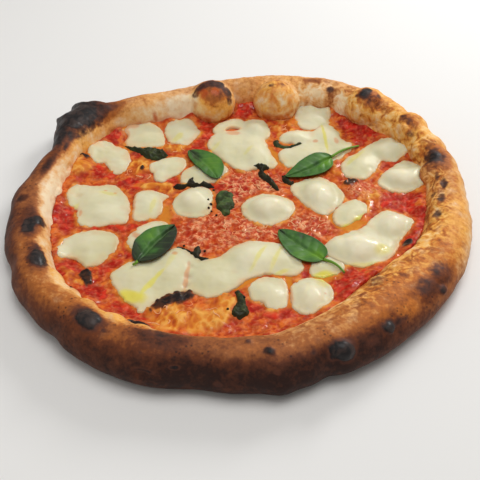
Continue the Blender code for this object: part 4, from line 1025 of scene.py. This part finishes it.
def basilMaterial():
    material, tree, shader, coords = newMaterial("basil_leaf")
    vein, quilt, light, darkEdgesAndPaintedShade = attributeOf(tree, "leaf")
    wide, fine = noise(tree, coords, 9, 2), noise(tree, coords, 1.6, 2)
    # the green follows the tone, which holds painted highlight and painted shade as well as the leaf's own colour
    toneWithPaintedLight = calc(tree, "ADD", light, calc(tree, "MULTIPLY", calc(tree, "SUBTRACT", fine, 0.5), 0.35))
    colour = ramp(tree, toneWithPaintedLight, (0.0, (0.020, 0.036, 0.014)), (0.22, (0.032, 0.095, 0.020)), (0.5, (0.066, 0.175, 0.026)),
                  (1.0, (0.13, 0.29, 0.012)))
    # painted shade and darker edges: the lowest tone goes nearly black
    colour = mixColour(tree, calc(tree, "MULTIPLY", darkEdgesAndPaintedShade, 0.8), colour, (0.022, 0.018, 0.016))
    colour = mixColour(tree, calc(tree, "MULTIPLY", quilt, calc(tree, "MULTIPLY", step(tree, wide, 0.3, 0.7), 0.4)), colour,
                       (0.085, 0.20, 0.04))
    colour = mixColour(tree, calc(tree, "MULTIPLY", vein, 0.22), colour, (0.14, 0.25, 0.06))
    tree.links.new(colour, shader.inputs["Base Color"])
    shader.inputs["Roughness"].default_value = 0.40
    shader.inputs["Specular IOR Level"].default_value = 0.26
    tree.links.new(bump(tree, fine, 0.45, 0.2), shader.inputs["Normal"])
    return material


# wilted basil -----
# outline, strength of the crumpling, extra height
wiltedSet = {
    "wilted_a": {"node": "wilted_basil_1", "crumple": 2.4, "up": 1.2, "green": 0.5,
                 "outline": ((-87, 77.5), (-78, 76), (-68, 75.5), (-59, 73.5), (-54.5, 69.5), (-54, 63.5), (-60, 59.5), (-66, 60.5),
                             (-71, 63.5), (-76, 69.5), (-83, 73))},
    "wilted_b": {"node": "wilted_basil_2", "crumple": 2.0, "up": 1.4, "green": 0.1,
                 "outline": ((-47, 28), (-43, 30.5), (-38, 30), (-36, 34), (-33.5, 37.5), (-32, 33), (-29, 30.5), (-26, 32.5), (-21, 31),
                             (-17, 27.5), (-22, 26.5), (-27, 28), (-32, 26), (-36, 27.5), (-40, 25), (-45, 25.5))},
    "wilted_c": {"node": "wilted_basil_3", "crumple": 0.9, "up": 1.4, "green": 1.0,
                 "outline": ((-15, 19), (-11, 23), (-4, 20), (-3, 11), (-3, 3), (-8, -4), (-13, 0), (-16, 9))},
    "wilted_d": {"node": "wilted_basil_4", "crumple": 1.8, "up": 1.4, "green": 0.2,
                 "outline": ((12, 51.5), (17, 53), (23, 51.5), (22.5, 49), (19.5, 47.5), (20.5, 42.5), (25, 37.5), (28, 30.5),
                             (30, 24.5), (27.5, 24), (23, 30.5), (18, 36.5), (15, 41.5), (15.5, 47.5), (12.5, 49))},
    "wilted_e": {"node": "wilted_basil_5", "crumple": 1.4, "up": 1.0, "green": 0.2,
                 "outline": ((32, 40.5), (35, 41), (38, 36.5), (41, 31.5), (38, 30), (33.5, 33.5))},
    "wilted_f": {"node": "wilted_basil_6", "crumple": 1.0, "up": 0.8, "green": 0.7,
                 "outline": ((27, 83.5), (30.5, 86.5), (32, 82.5), (34, 79), (40, 78.5), (48, 81), (48, 79), (41, 75),
                             (33, 74.5), (28.5, 78))},
    "wilted_g": {"node": "wilted_basil_7", "crumple": 1.2, "up": 1.0, "green": 0.2,
                 "outline": ((-40, -37), (-34, -39.5), (-30, -41), (-29, -37), (-26, -36.5), (-24.5, -42), (-25, -46),
                             (-19, -49.5), (-23, -51), (-29, -47), (-33, -42.5), (-40, -39))},
    "wilted_h": {"node": "wilted_basil_8", "crumple": 1.8, "up": 1.2, "green": 0.4,
                 "outline": ((-1.5, -79), (1.5, -78), (4, -83), (5.5, -90), (6.5, -97), (2, -103), (-3, -100), (-2, -93),
                             (0, -87))},
}


def makeWilted(name, leaf, seed, trees, material):
    line = curveThrough(leaf["outline"], seed)
    (x0, y0), (x1, y1) = line.min(0) - 1, line.max(0) + 1
    grid = newGrid(name, x0, x1, y0, y1, 0.5)
    points = coordsOf(grid)
    edge, _ = toLine(points[:, 0], points[:, 1], line)
    keepVertices(grid, edge < 0.35)
    points = coordsOf(grid)
    edge, nearest = toLine(points[:, 0], points[:, 1], line)
    outermost = edge > -0.2
    points[outermost, :2] = nearest[outermost]
    x, y = points[:, 0], points[:, 1]
    flat = np.stack([x, y, np.zeros(len(points))], 1)
    folds = 1 - np.abs(lumps(flat, 4.5, seed + 5)) * 2.2
    creases = 1 - np.abs(lumps(flat, 2.2, seed + 6)) * 2
    # the crumpled leaf follows what it lies on
    xs, ys = np.arange(x0, x1 + 2, 2), np.arange(y0, y1 + 2, 2)
    table = np.array([[groundUnder(trees, a, b) for b in ys] for a in xs])
    padded = np.pad(table, 1, mode="edge")
    soft = sum(padded[1 + i:1 + i + len(xs), 1 + j:1 + j + len(ys)] for i in (-1, 0, 1) for j in (-1, 0, 1)) / 9
    u, v = (x - x0) / 2, (y - y0) / 2
    i, j = np.clip(u.astype(int), 0, len(xs) - 2), np.clip(v.astype(int), 0, len(ys) - 2)
    fu, fv = u - i, v - j
    ground = (soft[i, j] * (1 - fu) * (1 - fv) + soft[i + 1, j] * fu * (1 - fv) + soft[i, j + 1] * (1 - fu) * fv
              + soft[i + 1, j + 1] * fu * fv)
    inner = smoothStep(0, 1.8, -edge)
    points[:, 2] = ground + 0.2 + inner * (leaf["up"] + leaf["crumple"] * (0.55 * folds + 0.25 * creases))
    points[:, 2] = np.maximum(points[:, 2], ground + 0.1)
    setCoords(grid, points)
    paint(grid, "leaf", np.clip(folds, 0, 1) * inner, np.clip(creases, 0, 1), np.full(len(points), leaf["green"]), inner)
    closeUnder(grid, points[:, 2].min() - 0.5)
    bpy.ops.object.shade_smooth()
    finishPiece(grid, material, "wilted_basil", leaf["node"])
    return grid


def makeSpecks(material, trees):  # tiny burnt crumbs of leaf: x, y, radius in mm
    bpy.ops.object.select_all(action="DESELECT")
    made = []
    for x, y, radius in ((-19, 7, 1.1), (-20.5, 2.5, 1.0), (-18.5, -0.5, 0.8), (-15, -4, 0.9), (-21, 11, 0.8), (-45, 26, 0.9),
                         (-17.5, 24, 0.9), (40, 33, 1.0), (-22, -41, 0.9), (-36, -36, 0.8), (4, -84, 1.0), (-6, -96, 0.9)):
        z = groundUnder(trees, x, y) + 0.3 * radius
        place = Vector(((x + planShift[0]) * mm, (y + planShift[1]) * mm, z * mm))
        bpy.ops.mesh.primitive_ico_sphere_add(subdivisions=2, radius=radius * mm, location=place)
        made.append(bpy.context.object)
    for speck in made:
        speck.select_set(True)
    bpy.ops.object.join()
    specks = bpy.context.object
    specks.name = "specks"
    bpy.ops.object.transform_apply(location=True, rotation=True, scale=True)
    points = coordsOf(specks)
    points += 0.25 * np.stack([lumps(points, 1.3, 401), lumps(points, 1.3, 402), lumps(points, 1.3, 403)], 1)
    setCoords(specks, points)
    nothing = np.zeros(len(points))
    paint(specks, "leaf", nothing, nothing, nothing, nothing)
    bpy.ops.object.shade_smooth()
    finishPiece(specks, material, "wilted_basil")


def wiltedMaterial():
    material, tree, shader, coords = newMaterial("wilted_basil")
    folds, creases, green, inner = attributeOf(tree, "leaf")
    middle, fine = noise(tree, coords, 4, 2), noise(tree, coords, 1.2, 2)
    colour = mixColour(tree, green, (0.020, 0.014, 0.009), (0.028, 0.040, 0.012))
    leafy = calc(tree, "MULTIPLY", step(tree, middle, 0.42, 0.6), calc(tree, "POWER", green, 2.0))
    colour = mixColour(tree, calc(tree, "MULTIPLY", leafy, 0.8), colour, (0.06, 0.11, 0.035))
    lighter = calc(tree, "MULTIPLY", calc(tree, "MULTIPLY", folds, creases), step(tree, middle, 0.45, 0.7))
    lighter = calc(tree, "MULTIPLY", lighter, calc(tree, "ADD", 0.15, green), True)
    colour = mixColour(tree, lighter, colour, (0.16, 0.19, 0.05))
    colour = mixColour(tree, calc(tree, "MULTIPLY", step(tree, fine, 0.55, 0.7), 0.35), colour, (0.045, 0.028, 0.014))
    tree.links.new(colour, shader.inputs["Base Color"])
    shader.inputs["Roughness"].default_value = 0.5
    shader.inputs["Specular IOR Level"].default_value = 0.12
    tree.links.new(bump(tree, fine, 0.5, 0.3), shader.inputs["Normal"])
    return material


# threads of melted cheese in the sauce -----
# patches: x, y, half length, half width, how many; lengths and thickness in mm
threadSet = {
    "length": (4, 11), "radius": 0.42, "bend": 2.2,
    "patches": ((-10, -17.5, 30, 16, 26), (14, -19.5, 20, 9, 12), (10, 34.5, 20, 12, 30), (46, -12.5, 12, 10, 16),
                (-34, -101, 22, 8, 9), (-46.5, 77, 9, 6, 6), (86.5, 22.5, 10, 8, 6), (-72.5, 48.5, 8, 9, 5), (-4, 16.5, 6, 10, 5),
                (36, 103, 8, 14, 6), (97.5, 14.5, 8, 5, 4)),
}


def makeThreads(material, trees):
    s = threadSet
    random = np.random.default_rng(5)
    ring = np.radians(np.arange(0, 360, 72))
    steps = 9
    places, faces = [], []
    for px, py, halfLength, halfWidth, count in s["patches"]:
        for _ in range(count):
            x, y = px + halfLength * random.uniform(-1, 1), py + halfWidth * random.uniform(-1, 1)
            turn, bend = random.uniform(0, 2 * math.pi), random.normal(0, s["bend"])
            length = random.uniform(*s["length"])
            start = len(places)
            for k in range(steps):
                share = k / (steps - 1)
                way = turn + bend * (share - 0.5) + 0.5 * math.sin(share * 7 + start)
                x, y = x + length / steps * math.cos(way), y + length / steps * math.sin(way)
                z = groundUnder(trees, x, y) - 0.05
                radius = s["radius"] * (0.35 + 0.65 * math.sin(math.pi * share) ** 0.5)
                for r in ring:
                    side = radius * math.cos(r)
                    places.append((x - side * math.sin(way), y + side * math.cos(way), z + radius * math.sin(r)))
            for k in range(steps - 1):
                for r in range(5):
                    a, b = start + 5 * k + r, start + 5 * k + (r + 1) % 5
                    faces.append((a, b, b + 5, a + 5))
            faces.append(tuple(start + r for r in range(4, -1, -1)))
            faces.append(tuple(start + 5 * (steps - 1) + r for r in range(5)))
    mesh = bpy.data.meshes.new("threads")
    mesh.from_pydata(((np.array(places) + planShift) * mm).tolist(), [], faces)
    threads = bpy.data.objects.new("threads", mesh)
    bpy.context.scene.collection.objects.link(threads)
    mesh.shade_smooth()
    finishPiece(threads, material, "tomato_sauce")
    print("threads:", len(mesh.polygons), "faces")
    return threads


def threadMaterial():
    material, tree, shader, coords = newMaterial("melted_threads")
    colour = mixColour(tree, step(tree, noise(tree, coords, 9, 1), 0.35, 0.65), (0.74, 0.24, 0.085), (0.80, 0.42, 0.20))
    tree.links.new(colour, shader.inputs["Base Color"])
    shader.inputs["Roughness"].default_value = 0.35
    shader.inputs["Specular IOR Level"].default_value = 0.3
    return material


# stage -----
def floorMaterial():
    material, tree, shader, coords = newMaterial("pale_floor")
    shader.inputs["Base Color"].default_value = (0.80, 0.79, 0.77, 1)
    shader.inputs["Roughness"].default_value = 0.9
    return material


def addCamera():
    cameraSet = {"place": (1.5, -449.8, 384.7), "target": (1.5, -33.6, 10.0), "lens": 62.75}
    data = bpy.data.cameras.new("camera")
    data.lens = cameraSet["lens"]
    data.sensor_width = 36
    camera = bpy.data.objects.new("camera", data)
    bpy.context.scene.collection.objects.link(camera)
    place, target = (Vector((np.array(cameraSet[k]) + planShift) * mm) for k in ("place", "target"))
    camera.location = place
    camera.rotation_euler = (target - place).to_track_quat("-Z", "Y").to_euler()
    bpy.context.scene.camera = camera


def addStudio():
    bpy.ops.object.select_all(action="DESELECT")
    bpy.ops.mesh.primitive_plane_add(size=14, location=(0, 0, -0.0005))
    floor = bpy.context.object
    floor.name = "floor"
    floor.data.materials.append(floorMaterial())
    studio = {
        "key": {"place": (0.62, 0.80, 0.62), "size": 0.36, "power": 7.0},
        "top": {"place": (0.15, -0.05, 1.25), "size": 0.9, "power": 8.2},
        "fill": {"place": (-0.8, -0.3, 0.8), "size": 1.0, "power": 1.3},
    }
    for name, light in studio.items():
        data = bpy.data.lights.new(name, "AREA")
        data.size = light["size"]
        data.energy = light["power"]
        lamp = bpy.data.objects.new(name, data)
        bpy.context.scene.collection.objects.link(lamp)
        lamp.location = light["place"]
        lamp.rotation_euler = (-Vector(light["place"])).to_track_quat("-Z", "Y").to_euler()
    world = bpy.data.worlds.new("studio")
    bpy.context.scene.world = world
    world.use_nodes = True
    background = world.node_tree.nodes["Background"]
    background.inputs["Color"].default_value = (1.0, 0.98, 0.95, 1)
    background.inputs["Strength"].default_value = 0.30
    bpy.context.scene.view_settings.view_transform = "Standard"


oilGroup = makeOilGroup()
addCamera()
makeCrust(crustMaterial())
sauce = makeSauce(sauceMaterial())
cheeses = makeCheeses(cheeseMaterial())
trees = [treeOf(obj) for obj in (sauce, *cheeses)]
wiltedGreen = wiltedMaterial()
for seed, (name, leaf) in enumerate(wiltedSet.items()):
    trees.append(treeOf(makeWilted(name, leaf, 200 + 7 * seed, trees, wiltedGreen)))
freshGreen = basilMaterial()
for seed, (name, leaf) in enumerate(leafSet["leaves"].items()):
    makeBasil(name, leaf, 300 + 7 * seed, trees, freshGreen)
print("basil: done")
makeSpecks(wiltedGreen, trees[:24])
makeThreads(threadMaterial(), trees[:1])
addStudio()
